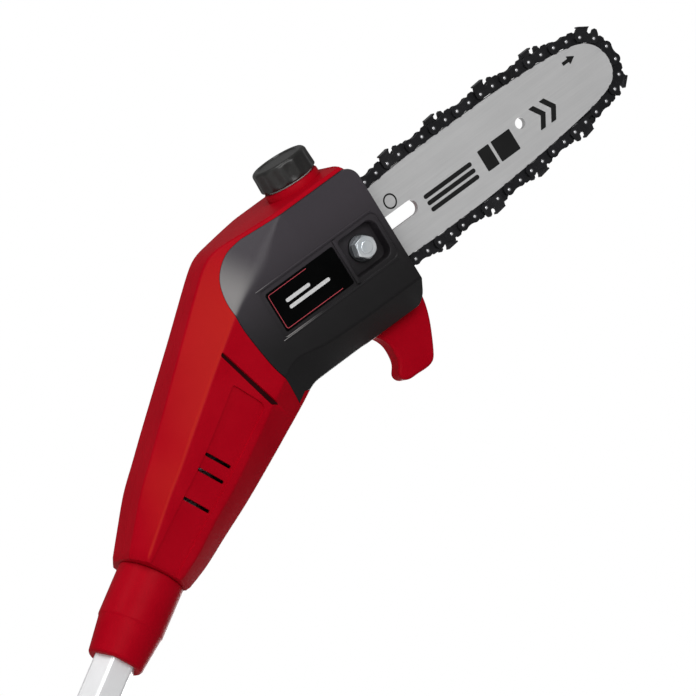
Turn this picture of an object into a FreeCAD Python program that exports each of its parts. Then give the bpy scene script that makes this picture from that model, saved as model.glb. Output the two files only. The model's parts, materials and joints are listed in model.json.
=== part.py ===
import FreeCAD, Part
import math
import os

# Telescoping pole saw. Millimetres. +Z runs up the pole's axis from the battery end to the saw head,
# the guide bar leans from +Z towards +X, and the sprocket cover faces -Y.

# ---------------------------------------------------------------- driving dimensions
HEAD_Z = 1060.0            # lower end of the head collar, pole collapsed
BEND = math.radians(30.0)  # guide bar to pole
HALF = 32.0                # half thickness of the head
WALL = 2.5
TUBE_AF, TUBE_WALL = 24.0, 1.4            # inner (upper) hexagonal tube
OUTER_AF, OUTER_WALL = 28.4, 1.5          # outer (lower) hexagonal tube
INNER_Z0, INNER_Z1 = 350.0, HEAD_Z + 48.0
OUTER_Z0, OUTER_Z1 = 300.0, 905.0
COLLAR_R, COLLAR_LEN = 20.5, 57.0
BAR_W = 12.0               # bar's middle plane, measured towards -Y
BAR_T = 4.0
GROOVE_T, GROOVE_D = 1.5, 5.6
SPROCKET_R = 18.4
RIVETS = 66
STUD = (267.4, 117.9)
SLOT_W, SLOT_U0, SLOT_U1 = 9.2, 240.0, 318.0
HOLE = (403.8, 120.1, 3.45)
PIN = (247.0, 133.5)
PIN_OFFSET = 0.7           # the adjuster hole's centre lies this far ahead of the pin at rest
CAP_U, CAP_R, CAP_V0, CAP_H = 261.6, 18.5, 172.9, 13.8
APEX_Z = 239.5             # bevel gears' common apex above the head's datum
SPROCKET = (APEX_Z * math.cos(BEND), APEX_Z * math.sin(BEND))  # in the bar's own u, v
GEAR_R, GEAR_TEETH, PINION_TEETH = 22.0, 24, 8
BATTERY_X, BATTERY_Y, BATTERY_Z = 51.0, 37.0, 60.0
LEVER_PIVOT = (-29.0, 930.0)
RING_PIVOT = (-27.5, 472.0)

os.makedirs("parts", exist_ok=True)
V = FreeCAD.Vector
S30, C30 = math.sin(BEND), math.cos(BEND)
# bar frame (u along the bar, v across it towards the cap, w towards -Y) to the object's frame
HM = FreeCAD.Matrix(S30, -C30, 0, 0, 0, 0, -1, 0, C30, S30, 0, HEAD_Z, 0, 0, 0, 1)
UP = FreeCAD.Matrix(1, 0, 0, 0, 0, 1, 0, 0, 0, 0, 1, HEAD_Z, 0, 0, 0, 1)


def uv(u, v):
    """bar frame to head x, z"""
    return (u * S30 - v * C30, u * C30 + v * S30)


def face(pts):
    w = Part.makePolygon([V(*p) for p in pts] + [V(*pts[0])])
    return Part.Face(w)


def prism(pts, w0, w1):
    """polygon in x, y extruded from z = w0 to w1"""
    return face([(p[0], p[1], w0) for p in pts]).extrude(V(0, 0, w1 - w0))


def prism_y(pts, y0, y1):
    """polygon in x, z extruded along y"""
    return face([(p[0], y0, p[1]) for p in pts]).extrude(V(0, y1 - y0, 0))


def prism_x(pts, x0, x1):
    """polygon in y, z extruded along x"""
    return face([(x0, p[0], p[1]) for p in pts]).extrude(V(x1 - x0, 0, 0))


def round_poly(pts, radii):
    """closed outline with its corners rounded, as a list of edges in the plane z = 0"""
    n = len(pts)
    ins, outs, mids = [], [], []
    for i in range(n):
        a, b, c = V(*pts[i - 1], 0), V(*pts[i], 0), V(*pts[(i + 1) % n], 0)
        r = radii[i] if isinstance(radii, (list, tuple)) else radii
        d1, d2 = (a - b).normalize(), (c - b).normalize()
        ang = d1.getAngle(d2)
        if r <= 0 or ang > math.pi - 1e-3:
            ins.append(b)
            outs.append(b)
            mids.append(None)
            continue
        t = r / math.tan(ang / 2)
        bis = (d1 + d2).normalize()
        centre = b + bis * (r / math.sin(ang / 2))
        ins.append(b + d1 * t)
        outs.append(b + d2 * t)
        mids.append(centre - bis * r)
    edges = []
    for i in range(n):
        if mids[i] is not None:
            edges.append(Part.Arc(ins[i], mids[i], outs[i]).toShape())
        p, q = outs[i], ins[(i + 1) % n]
        if (p - q).Length > 1e-6:
            edges.append(Part.LineSegment(p, q).toShape())
    return Part.Wire(edges)


def rprism(pts, radii, w0, w1):
    f = Part.Face(round_poly(pts, radii))
    f.translate(V(0, 0, w0))
    return f.extrude(V(0, 0, w1 - w0))


def to_y(shape):
    """plane x, y, extruded along z, to plane x, z, extruded along -y"""
    return shape.transformed(FreeCAD.Matrix(1, 0, 0, 0, 0, 0, -1, 0, 0, 1, 0, 0, 0, 0, 0, 1), True)


def cyl(r, a, b):
    a, b = V(*a), V(*b)
    return Part.makeCylinder(r, (b - a).Length, a, b - a)


def box(x0, y0, z0, x1, y1, z1):
    return Part.makeBox(x1 - x0, y1 - y0, z1 - z0, V(x0, y0, z0))


def inset(pts, t):
    """polygon moved inwards by t; points run counter-clockwise or clockwise"""
    n = len(pts)
    area = sum(pts[i][0] * pts[(i + 1) % n][1] - pts[(i + 1) % n][0] * pts[i][1] for i in range(n))
    s = 1.0 if area > 0 else -1.0
    lines = []
    for i in range(n):
        (x0, y0), (x1, y1) = pts[i], pts[(i + 1) % n]
        dx, dy = x1 - x0, y1 - y0
        ln = math.hypot(dx, dy)
        nx, ny = -dy / ln * s, dx / ln * s
        lines.append((x0 + nx * t, y0 + ny * t, dx / ln, dy / ln))
    out = []
    for i in range(n):
        x0, y0, dx0, dy0 = lines[i - 1]
        x1, y1, dx1, dy1 = lines[i]
        det = dx0 * dy1 - dy0 * dx1
        if abs(det) < 1e-6:
            out.append((x1, y1))
            continue
        k = ((x1 - x0) * dy1 - (y1 - y0) * dx1) / det
        out.append((x0 + dx0 * k, y0 + dy0 * k))
    return out


def hexagon(af, z0, z1, corner=0.0):
    """hexagonal prism on Z with its flats on +Y and -Y"""
    r = af / math.sqrt(3)
    pts = [(r * math.cos(math.radians(60 * k)), r * math.sin(math.radians(60 * k))) for k in range(6)]
    return rprism(pts, corner, z0, z1)


def hex_tube(af, wall, z0, z1, corner):
    return hexagon(af, z0, z1, corner).cut(hexagon(af - 2 * wall, z0 - 1, z1 + 1, max(0.0, corner - wall * 0.6)))


def soft(shape, r, pick=None):
    """rounds the edges that pick chooses, or leaves the shape as it is"""
    edges = [e for e in shape.Edges if pick is None or pick(e)]
    try:
        out = shape.makeFillet(r, edges)
        if out.isValid() and out.Volume > 0:
            return out
    except Exception:
        pass
    print("fillet left out", r, len(edges))
    return shape


def moved(shape, m):
    return shape.transformed(m, True)


NODES = {}


def put(name, shape, m=None):
    solids = shape.Solids
    if m is not None:
        solids = [moved(s, m) for s in solids]
    NODES[name] = solids


# ---------------------------------------------------------------- head housing
def barrel_outline():
    e, f = uv(291.0, 166.8), uv(291.0, 67.5)
    return [(-22.4, 57.0), (-32.2, 97.0), (-50.9, 232.0), (-50.9, 245.4), uv(230.0, 166.8), uv(230.0, 90.0),
            (39.5, 203.0), (30.2, 117.0), (25.0, 80.0), (20.2, 57.0)]


def head_outline():
    return [(187.1, 166.8), (291.0, 166.8), (291.0, 67.5), (181.0, 67.5)]


def facet(sections, t, side):
    """solid that cuts a chamfer facet; sections are (z, face point, side point), side is -1 or 1 in y"""
    wires = []
    for z, p, q in sections:
        px, py, qx, qy = p[0], p[1], q[0], q[1]
        dx, dy = qx - px, qy - py
        ln = math.hypot(dx, dy)
        # inward normal, towards the axis
        nx, ny = -dy / ln, dx / ln
        if nx * (0 - px) + ny * (0 - py) < 0:
            nx, ny = -nx, -ny
        px, py, qx, qy = px + nx * t, py + ny * t, qx + nx * t, qy + ny * t
        a = (px - dx / ln * 30, py - dy / ln * 30)
        b = (qx + dx / ln * 30, qy + dy / ln * 30)
        c = (b[0] - nx * 40, b[1] - ny * 40)
        d = (a[0] - nx * 40, a[1] - ny * 40)
        wires.append(Part.makePolygon([V(k[0], k[1] * side, z) for k in (a, b, c, d, a)]))
    return Part.makeLoft(wires, True, True)


LEFT_FACET = [(50.0, (-20.0, -10.8), (-14.8, -22.6)), (97.0, (-31.6, -12.5), (-20.5, -28.0)),
              (135.0, (-37.2, -12.5), (-24.5, -32.0)), (213.0, (-45.0, -13.0), (-28.8, -32.0)),
              (242.0, (-47.4, -14.6), (-29.4, -32.0)), (300.0, (-48.0, -15.0), (-28.0, -32.0))]
RIGHT_FACET = [(50.0, (18.6, -11.8), (8.6, -22.6)), (142.0, (33.0, -18.0), (14.0, -32.0)),
               (300.0, (49.0, -19.0), (17.0, -32.0))]


def outer(t):
    side = [(-23.0, 50.0), (-32.0, 133.0), (-32.0, 360.0), (32.0, 360.0), (32.0, 133.0), (23.0, 50.0)]
    side = inset(side, t)
    slab = prism_x(side, -120, 160)
    out = inset(barrel_outline(), t)
    head = inset(head_outline(), t)
    if t > 0:
        # the two cavities run into each other
        out = [(p[0], p[1]) for p in out]
        head[0] = (head[0][0] - 12, head[0][1])
        head[3] = (head[3][0] - 6, head[3][1])
    barrel = prism_y(out, -60, 60).common(slab)
    for s in (-1, 1):
        cutter = facet(RIGHT_FACET, t, 1)
        if s == 1:
            cutter = cutter.mirror(V(0, 0, 0), V(0, 1, 0))
        barrel = barrel.cut(cutter)
    block = prism(head, -HALF + t, HALF - t)
    low = 67.5 + t
    k = t * 0.414
    for s in (-1, 1):
        wf = s * (HALF - t)
        tri = [(150, low + 16.5 - t + k, wf), (150, low - 6, wf), (150, low - 6, s * (HALF - t - 22.5 + t - k)),
               (150, low, s * (HALF - 16.5 - k))]
        tri = [(150, low + 16.5 - k, s * (HALF - t + 0.01)), (150, low - 5, s * (HALF + 8)),
               (150, low - 5, s * (HALF - t - 21.5 + k)), ]
        block = block.cut(face(tri).extrude(V(200, 0, 0)))
    body = barrel.fuse(moved(block, FreeCAD.Matrix(S30, -C30, 0, 0, 0, 0, -1, 0, C30, S30, 0, 0, 0, 0, 0, 1)))
    for s in (-1, 1):
        cutter = facet(LEFT_FACET, t, 1)
        if s == 1:
            cutter = cutter.mirror(V(0, 0, 0), V(0, 1, 0))
        body = body.cut(cutter)
    return body.removeSplitter()


HL = FreeCAD.Matrix(S30, -C30, 0, 0, 0, 0, -1, 0, C30, S30, 0, 0, 0, 0, 0, 1)  # bar frame to head, no height
shell_out = outer(0.0)
shell_in = outer(WALL)
print("outer", shell_out.isValid(), len(shell_out.Solids), "inner", shell_in.isValid(), len(shell_in.Solids))

# filler boss for the oil cap and the spout-shaped hump in front of it
boss = cyl(17.8, (CAP_U, 150.0, 0), (CAP_U, 171.6, 0))
hump = rprism([(276, 150), (276, 166.9), (288, 168.6), (299.5, 166.0), (300.5, 154.0), (288, 146)], [0, 0, 4, 4, 4, 0], -26.0, -3.0)
hump = soft(hump, 2.5, lambda e: abs(e.CenterOfMass.z + 26.0) < 0.01 and e.CenterOfMass.y > 150)
boss_m, hump_m = moved(boss, HL), moved(hump, HL)
skin = shell_out.fuse(boss_m).fuse(hump_m)
shell = skin.cut(shell_in)
shell = shell.cut(moved(cyl(15.3, (CAP_U, 140, 0), (CAP_U, 190, 0)), HL))
shell = shell.cut(cyl(17.1, (0, 0, 40), (0, 0, 62)))

# cover outline in the bar frame
COVER = [(283.0, 164.4), (287.2, 160.5), (287.2, 77.0), (284.5, 72.0), (279.0, 66.0), (194.5, 66.0), (188.6, 68.0), (181.6, 64.0),
         (178.4, 78.2), (174.0, 92.3), (171.1, 110.6), (169.9, 125.1), (171.5, 136.6), (176.9, 148.2), (183.9, 156.2),
         (193.4, 162.0), (204.2, 164.4)]
BAY_FLOOR = 8.0
COVER_W0 = 13.0


def cover_wire(t):
    pts = inset(COVER, t)
    up = [V(p[0], p[1], 0) for p in pts]
    curve = Part.BSplineCurve()
    curve.interpolate([up[k] for k in (7, 8, 9, 10, 11, 12, 13, 14, 15, 16)])
    edges = [curve.toShape(), Part.LineSegment(up[16], up[0]).toShape()]
    for k in range(0, 7):
        edges.append(Part.LineSegment(up[k], up[k + 1]).toShape())
    return Part.Wire(edges)


def cover_prism(t, w0, w1):
    f = Part.Face(cover_wire(t))
    f.translate(V(0, 0, w0))
    return f.extrude(V(0, 0, w1 - w0))


# right half (-Y): bay cut for the sprocket, chain and bar, floor kept
bay = moved(cover_prism(-0.25, COVER_W0 - 0.25, 50.0), HL)
bay_low = moved(cover_prism(2.6, BAY_FLOOR, COVER_W0 + 1), HL)
front_gap = moved(box(270, 80, BAY_FLOOR, 300, 159, 40), HL)
right = shell.common(box(-200, -60, 0, 200, -0.05, 400))
floor = moved(cover_prism(1.5, 5.6, BAY_FLOOR), HL).common(shell_in).cut(cyl(9.8, (0, 0, 200), (0, 0, 230)))
lip = moved(cover_prism(0.6, 5.6, COVER_W0 - 0.4), HL).common(shell_out).cut(moved(cover_prism(2.6, 5.0, 20), HL))
right = right.fuse(floor).fuse(lip).cut(bay).cut(bay_low).cut(front_gap)
right = right.cut(moved(cyl(9.0, (SPROCKET[0], SPROCKET[1], 4), (SPROCKET[0], SPROCKET[1], 9)), HL))
right = right.cut(moved(cyl(5.2, (STUD[0], STUD[1], 4), (STUD[0], STUD[1], 9)), HL))
right = right.cut(moved(box(238, 128.0, 1.0, 300, 139.0, 9), HL))
# vents, groove and sunken panel on the barrel's side
vents = []
for z0, x0, x1 in ((130.6, -11.4, 6.9), (120.6, -11.4, 6.9), (101.3, -12.0, 6.8)):
    vents.append(box(x0, -40, z0 - 1.1, x1, -20, z0 + 1.1))
    vents.append(box(x0, 20, z0 - 1.1, x1, 40, z0 + 1.1))
groove = prism_y([(-27.2, 189.6), (-27.0, 187.4), (14.6, 176.8), (20.0, 178.6)], -34, -HALF + 0.9)
panel = [(-12.6, 174.6), (-11.7, 129.0), (-13.0, 61.0), (5.6, 61.0), (7.9, 101.0), (9.0, 129.0), (11.6, 170.5), (5.5, 173.4)]


def side_depth(z):
    return min(HALF, 23.0 + (z - 50.0) * 9.0 / 83.0)


def panel_tool(depth):
    """sunken panel following the side's taper"""
    low = prism_y([(p[0], p[1]) for p in panel], -60, 0)
    wedge = prism_x([(-23.0 + depth, 50.0), (-32.0 + depth, 133.0), (-32.0 + depth, 200.0), (-60, 200.0), (-60, 50.0)], -60, 60)
    return low.common(wedge)


right = right.cut(panel_tool(0.9)).cut(groove)
for v_ in vents:
    right = right.cut(v_)
left = shell.common(box(-200, 0.05, 0, 200, 60, 400))
for v_ in vents:
    left = left.cut(v_)
# bearing boss inside the left half
bb = cyl(11.0, (0, 15.5, APEX_Z), (0, HALF - 1.0, APEX_Z)).cut(cyl(8.0, (0, 15.0, APEX_Z), (0, 23.0, APEX_Z)))
left = left.fuse(bb)


def biggest(shape):
    return max(shape.Solids, key=lambda s: s.Volume)


right, left = biggest(right), biggest(left)
print("right", right.isValid(), right.Volume, "left", left.isValid(), left.Volume)
put("housing_right", right, UP)
put("housing_left", left, UP)

# ---------------------------------------------------------------- sprocket cover
cov = shell_out.common(moved(cover_prism(0.0, COVER_W0, 60.0), HL))
hollow = shell_in.common(moved(cover_prism(2.4, COVER_W0 - 1, HALF - 2.4), HL))
cov = cov.cut(hollow)
band = rprism([(190, 102.3), (283.2, 102.3), (283.2, 133.9), (190, 133.9)], [1, 6, 6, 1], HALF - 1.3, 40)
cov = cov.cut(moved(band, HL))
# clamping boss around the stud, carrying the pocket for the nut
boss2 = rprism([(250.5, 103.6), (282.4, 103.6), (282.4, 132.4), (250.5, 132.4)], [2, 7, 7, 2], 20.2, HALF - 1.4)
foot = cyl(9.5, (STUD[0], STUD[1], 14.15), (STUD[0], STUD[1], 22.0))
cov = cov.fuse(moved(boss2, HL)).fuse(moved(foot, HL))
pocket = rprism([(252.4, 105.4), (280.6, 105.4), (280.6, 130.8), (252.4, 130.8)], [2, 6, 6, 2], 22.4, 40)
cov = cov.cut(moved(pocket, HL)).cut(moved(cyl(4.3, (STUD[0], STUD[1], 10), (STUD[0], STUD[1], 40)), HL))
label_seat = rprism([(194.0, 104.6), (248.2, 104.6), (248.2, 130.6), (194.0, 130.6)], [1.5, 4, 4, 1.5], HALF - 2.2, 40)
cov = cov.cut(moved(label_seat, HL))
# way out for the bar and chain
cov = cov.cut(moved(box(280, 80, 0, 300, 159, 19.6), HL))
cov = biggest(cov)
print("cover", cov.isValid(), cov.Volume)
put("sprocket_cover", cov, UP)
plate = rprism([(194.3, 104.9), (247.9, 104.9), (247.9, 130.3), (194.3, 130.3)], [1.4, 3.8, 3.8, 1.4], HALF - 2.2, HALF - 1.5)
put("cover_label_plate", plate, HM)

# ---------------------------------------------------------------- collar
prof = [(0, -0.0), (16.0, 0.0), (17.2, 1.4), (19.9, 23.4), (COLLAR_R, 24.4), (COLLAR_R, COLLAR_LEN - 0.2), (16.9, COLLAR_LEN - 0.2), (16.9, 61.5), (15.6, 61.5), (15.6, 66), (0, 66)]
col = Part.Face(Part.makePolygon([V(p[0], 0, p[1]) for p in prof] + [V(prof[0][0], 0, prof[0][1])])).revolve(V(0, 0, 0), V(0, 0, 1), 360)
col = col.cut(hexagon(TUBE_AF + 0.04, -5, 80, 2.0))
put("head_collar", col, UP)

# ---------------------------------------------------------------- pole
put("inner_tube", hex_tube(TUBE_AF, TUBE_WALL, INNER_Z0, INNER_Z1, 2.2))
bush = hexagon(OUTER_AF - 2 * OUTER_WALL - 0.5, INNER_Z0 - 14, INNER_Z0 - 0.1, 1.6)
bush = bush.fuse(hexagon(TUBE_AF - 2 * TUBE_WALL - 0.1, INNER_Z0 - 4, INNER_Z0 + 16, 1.8)).cut(cyl(7.5, (0, 0, INNER_Z0 - 20), (0, 0, INNER_Z0 + 30)))
put("inner_tube_bush", bush)
put("outer_tube", hex_tube(OUTER_AF, OUTER_WALL, OUTER_Z0, OUTER_Z1, 2.4))

# clamp at the mouth of the outer tube
cl = cyl(22.0, (0, 0, 868), (0, 0, 950))
cl = soft(cl, 3.0)
ears = rprism([(-12, 916), (-37, 916), (-37, 942), (-12, 942)], [0, 9, 9, 0], -11.4, 11.4)
cl = cl.fuse(to_y(ears))
cl = cl.cut(box(-60, -6.4, 905, -21.4, 6.4, 960)).cut(box(-60, -6.4, 860, -21.4, 6.4, 906))
cl = cl.cut(hexagon(OUTER_AF + 0.04, 860, OUTER_Z1 + 0.05, 2.4)).cut(hexagon(TUBE_AF + 0.9, 900, 960, 2.0))
cl = cl.cut(cyl(2.5, (LEVER_PIVOT[0], -20, LEVER_PIVOT[1]), (LEVER_PIVOT[0], 20, LEVER_PIVOT[1])))
cl = cl.cut(box(-1.0, 18, 908, 1.0, 30, 960))
put("clamp_collar", biggest(cl))
lev = rprism([(-22.2, 931), (-29, 937.2), (-36.0, 931), (-38.4, 900), (-35.5, 868), (-30.5, 866.5), (-29.8, 880), (-31.0, 900), (-26, 921)],
             [4, 5, 5, 20, 3, 1.5, 6, 10, 4], -5.9, 5.9)
lev = to_y(lev).cut(cyl(2.5, (LEVER_PIVOT[0], -20, LEVER_PIVOT[1]), (LEVER_PIVOT[0], 20, LEVER_PIVOT[1])))
put("clamp_lever", lev)
pin = cyl(2.45, (LEVER_PIVOT[0], -11.6, LEVER_PIVOT[1]), (LEVER_PIVOT[0], 11.6, LEVER_PIVOT[1]))
put("clamp_pin", pin)

# foam fore grip
prof = [(0, 520), (18.6, 520), (20.6, 524)]
for k in range(9):
    z = 534 + k * 18.5
    prof += [(20.6, z), (19.4, z + 2), (19.4, z + 4), (20.6, z + 6)]
prof += [(20.6, 706), (18.6, 710), (0, 710)]
fg = Part.Face(Part.makePolygon([V(p[0], 0, p[1]) for p in prof] + [V(0, 0, 520)])).revolve(V(0, 0, 0), V(0, 0, 1), 360)
fg = fg.cut(hexagon(OUTER_AF + 0.04, 500, 730, 2.4))
put("front_grip", fg)

# harness bracket and ring
sb = soft(cyl(20.5, (0, 0, 462), (0, 0, 482)), 1.5)
lug = rprism([(-15, 464), (-30, 464), (-33, 468), (-33, 476), (-30, 480), (-15, 480)], 2, -3.0, 3.0)
sb = sb.fuse(to_y(lug)).fuse(box(15, -6.5, 465, 28.5, 6.5, 479))
sb = sb.cut(hexagon(OUTER_AF + 0.04, 450, 490, 2.4))
sb = sb.cut(cyl(2.7, (RING_PIVOT[0], -10, RING_PIVOT[1]), (RING_PIVOT[0], 10, RING_PIVOT[1])))
sb = sb.cut(box(14, -0.8, 460, 30, 0.8, 485))
sb = sb.cut(cyl(2.0, (24.0, -20, 472), (24.0, 20, 472)))
put("strap_bracket", biggest(sb))
screw = cyl(1.95, (24.0, -9.5, 472), (24.0, 8.5, 472)).fuse(cyl(3.8, (24.0, -9.6, 472), (24.0, -6.55, 472)))
screw = screw.cut(hexagon(3.0, 0, 3, 0).transformed(FreeCAD.Matrix(1, 0, 0, 24.0, 0, 0, 1, -9.7, 0, -1, 0, 472, 0, 0, 0, 1), True))
put("strap_screw", screw.fuse(cyl(3.6, (24.0, 6.55, 472), (24.0, 9.4, 472))))
rx, rz = RING_PIVOT
wr = 1.75
ring_pts = [V(rx, -9, rz), V(rx, 9, rz), V(rx, 12, rz - 3), V(rx, 12, rz - 17), V(rx, 6, rz - 23), V(rx, -6, rz - 23), V(rx, -12, rz - 17), V(rx, -12, rz - 3)]
loop = None
for k in range(8):
    a, b = ring_pts[k], ring_pts[(k + 1) % 8]
    seg = Part.makeCylinder(wr, (b - a).Length, a, b - a).fuse(Part.makeSphere(wr, b))
    loop = seg if loop is None else loop.fuse(seg)
put("strap_ring", loop)

# ---------------------------------------------------------------- bar and chain
UPPER = [(298.2, 147.0), (326.9, 148.4), (364.8, 148.6), (402.4, 148.2), (421, 147.4), (439.5, 146.2), (458.3, 143.4), (466.7, 140.9)]
NOSE = [(474.0, 135.9), (478.8, 128), (480.0, 119.4), (477.8, 111.0), (472.8, 105.0)]
LOWER = [(466.5, 101.9), (450.8, 98.4), (432.1, 96.2), (413.9, 94.4), (394.7, 93.0), (366.5, 91.4), (338.7, 90.8), (300.7, 91.2)]


def chain_path():
    cu, cv = SPROCKET
    pts = [V(cu + SPROCKET_R * math.cos(math.radians(a)), cv + SPROCKET_R * math.sin(math.radians(a)), 0) for a in (258, 240, 220, 200, 180, 160, 140, 120, 102)]
    pts += [V(238.0, 141.6, 0), V(268.0, 145.0, 0)]
    pts += [V(p[0], p[1], 0) for p in UPPER + NOSE + LOWER]
    pts += [V(268.0, 93.6, 0), V(238.0, 97.0, 0)]
    c = Part.BSplineCurve()
    c.interpolate(pts, True)
    return c


path = chain_path()
rivet_t = Part.Wire([path.toShape()]).discretize(Number=RIVETS + 1)[:-1]
first = rivet_t[0]
loop_len = path.length()
PITCH = loop_len / RIVETS
print("chain loop", round(loop_len, 1), "rivet pitch", round(PITCH, 3))

edge_pts = Part.Wire([path.toShape()]).discretize(Number=241)[:-1]
inner = []
n = len(edge_pts)
for k in range(n):
    a, b = edge_pts[k - 1], edge_pts[(k + 1) % n]
    d = (b - a).normalize()
    inner.append(edge_pts[k] + V(d.y, -d.x, 0) * 3.85)
area = sum(inner[i].x * inner[(i + 1) % n].y - inner[(i + 1) % n].x * inner[i].y for i in range(n))
if abs(inner[n // 2].x - SPROCKET[0]) < 1:
    pass


def bar_face(t):
    pts = []
    for k in range(n):
        a, b = edge_pts[k - 1], edge_pts[(k + 1) % n]
        d = (b - a).normalize()
        p = edge_pts[k] + V(d.y, -d.x, 0) * (3.85 + t)
        if p.x > 236.0 + t:
            pts.append((k, p))
    # order along the path, starting after the gap at the heel
    cut = max(range(len(pts)), key=lambda i: (pts[i][0] - pts[i - 1][0]) % n)
    seq = [p for _, p in pts[cut:] + pts[:cut]]
    keep = [seq[0]] + seq[3:-3:3] + [seq[-1]]
    c = Part.BSplineCurve()
    c.interpolate(keep)
    a, b = keep[-1], keep[0]
    mid = V(231.5 + t, SPROCKET[1], 0)
    heel = Part.Arc(a, mid, b).toShape()
    return Part.Face(Part.Wire([c.toShape(), heel]))


def slab(f, w0, w1):
    g = f.copy()
    g.translate(V(0, 0, w0))
    return g.extrude(V(0, 0, w1 - w0))


bf = bar_face(0.0)
print("bar face", bf.isValid(), bf.Area, bf.BoundBox)
bar = slab(bf, BAR_W - BAR_T / 2, BAR_W + BAR_T / 2)
gr = slab(bf, BAR_W - GROOVE_T / 2, BAR_W + GROOVE_T / 2).cut(slab(bar_face(GROOVE_D), BAR_W - 2, BAR_W + 2))
bar = bar.cut(gr)
slot = rprism([(SLOT_U0, STUD[1] - SLOT_W / 2), (SLOT_U1, STUD[1] - SLOT_W / 2), (SLOT_U1, STUD[1] + SLOT_W / 2), (SLOT_U0, STUD[1] + SLOT_W / 2)], SLOT_W / 2 - 0.01, 0, 30)
bar = bar.cut(slot).cut(cyl(HOLE[2], (HOLE[0], HOLE[1], 0), (HOLE[0], HOLE[1], 30))).cut(cyl(3.6, (PIN[0] + PIN_OFFSET, PIN[1], 0), (PIN[0] + PIN_OFFSET, PIN[1], 30)))
print("bar", bar.isValid(), len(bar.Solids), bar.Volume)
put("guide_bar", biggest(bar), HM)

p2 = PITCH / 2


def stadium(r, half_len):
    return Part.Face(Part.Wire([
        Part.LineSegment(V(-half_len, -r, 0), V(half_len, -r, 0)).toShape(),
        Part.Arc(V(half_len, -r, 0), V(half_len + r, 0, 0), V(half_len, r, 0)).toShape(),
        Part.LineSegment(V(half_len, r, 0), V(-half_len, r, 0)).toShape(),
        Part.Arc(V(-half_len, r, 0), V(-half_len - r, 0, 0), V(-half_len, -r, 0)).toShape()]))


def strap_shape(w0, w1):
    f = stadium(3.2, p2)
    f.translate(V(0, 0, w0))
    s = f.extrude(V(0, 0, w1 - w0))
    for sgn in (-1, 1):
        s = s.cut(cyl(9.0, (0, sgn * 11.3, w0 - 1), (0, sgn * 11.3, w1 + 1)))
    return s


strap_near = strap_shape(12.72, 14.1)
strap_far = strap_shape(9.9, 11.28)
dl = stadium(3.1, p2)
dl.translate(V(0, 0, 11.36))
drive = dl.extrude(V(0, 0, 1.28))
drive = drive.fuse(prism([(-3.7, -1.5), (-3.4, -3.4), (-1.2, -6.9), (1.5, -6.9), (3.9, -3.2), (3.7, -1.5)], 11.36, 12.64))
drive = drive.fuse(prism([(-3.2, 2.5), (-1.2, 4.3), (1.4, 4.3), (3.2, 2.5)], 11.36, 12.64)).removeSplitter()


def cutter_shape(near):
    w0, w1 = (12.72, 14.3) if near else (9.7, 11.28)
    side = prism([(-p2 - 3.0, -0.9), (-p2 - 1.4, -2.9), (p2 + 1.2, -2.9), (p2 + 3.1, -0.9), (p2 + 2.9, 3.0), (p2 + 1.9, 6.6), (p2 + 0.4, 7.4),
                  (p2 - 1.0, 6.4), (p2 - 1.8, 3.0), (p2 - 3.4, 2.5), (0.2, 4.6), (1.1, 8.6), (-p2 - 1.6, 7.6), (-p2 - 2.9, 3.2)], w0, w1)
    if near:
        top = prism([(-p2 - 1.6, 6.4), (-p2 - 1.6, 7.6), (1.1, 8.6), (0.7, 7.3)], 10.6, 14.9)
    else:
        top = prism([(-p2 - 1.6, 6.4), (-p2 - 1.6, 7.6), (1.1, 8.6), (0.7, 7.3)], 9.1, 13.4)
    return side.fuse(top).removeSplitter()


cut_near, cut_far = cutter_shape(True), cutter_shape(False)
riv = cyl(1.55, (0, 0, 9.55), (0, 0, 14.45))


def at(shape, a, b):
    m = (a + b) * 0.5
    d = (b - a).normalize()
    # s along the chain's travel, n outwards
    return moved(moved(shape, FreeCAD.Matrix(d.x, -d.y, 0, m.x, d.y, d.x, 0, m.y, 0, 0, 1, 0, 0, 0, 0, 1)), HM)


pts = rivet_t
# the path runs clockwise seen from the cover side, so its left-hand side is outwards
drives, straps, cutters, rivs = [], [], [], []
for k in range(0, RIVETS, 2):
    a, b = pts[k], pts[k + 1]
    drives.append(at(drive, a, b))
for i, k in enumerate(range(1, RIVETS, 2)):
    a, b = pts[k], pts[(k + 1) % RIVETS]
    if i % 4 == 0 and i < 32:
        cutters.append(at(cut_near, a, b))
        straps.append(at(strap_far, a, b))
    elif i % 4 == 2 and i < 32:
        cutters.append(at(cut_far, a, b))
        straps.append(at(strap_near, a, b))
    else:
        straps.append(at(strap_near, a, b))
        straps.append(at(strap_far, a, b))
for k in range(RIVETS):
    m = FreeCAD.Matrix(1, 0, 0, pts[k].x, 0, 1, 0, pts[k].y, 0, 0, 1, 0, 0, 0, 0, 1)
    rivs.append(moved(moved(riv, m), HM))
NODES["chain_drive_links"] = drives
NODES["chain_tie_straps"] = straps
NODES["chain_cutters"] = cutters
NODES["chain_rivets"] = rivs

# ---------------------------------------------------------------- drive
su, sv = SPROCKET
# sprocket: hub and two six-point discs, with a groove between them for the drive links' tails
disc_pts = []
for k in range(6):
    a = math.radians(60 * k + 12)
    for da, r in ((-14, 14.4), (14, 14.4), (30, 11.6)):
        disc_pts.append((r * math.cos(a + math.radians(da)), r * math.sin(a + math.radians(da))))
star = rprism(disc_pts, 1.0, 0, 1.6)


def star_at(w0):
    s = star.copy()
    s.translate(V(su, sv, w0))
    return s


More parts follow.
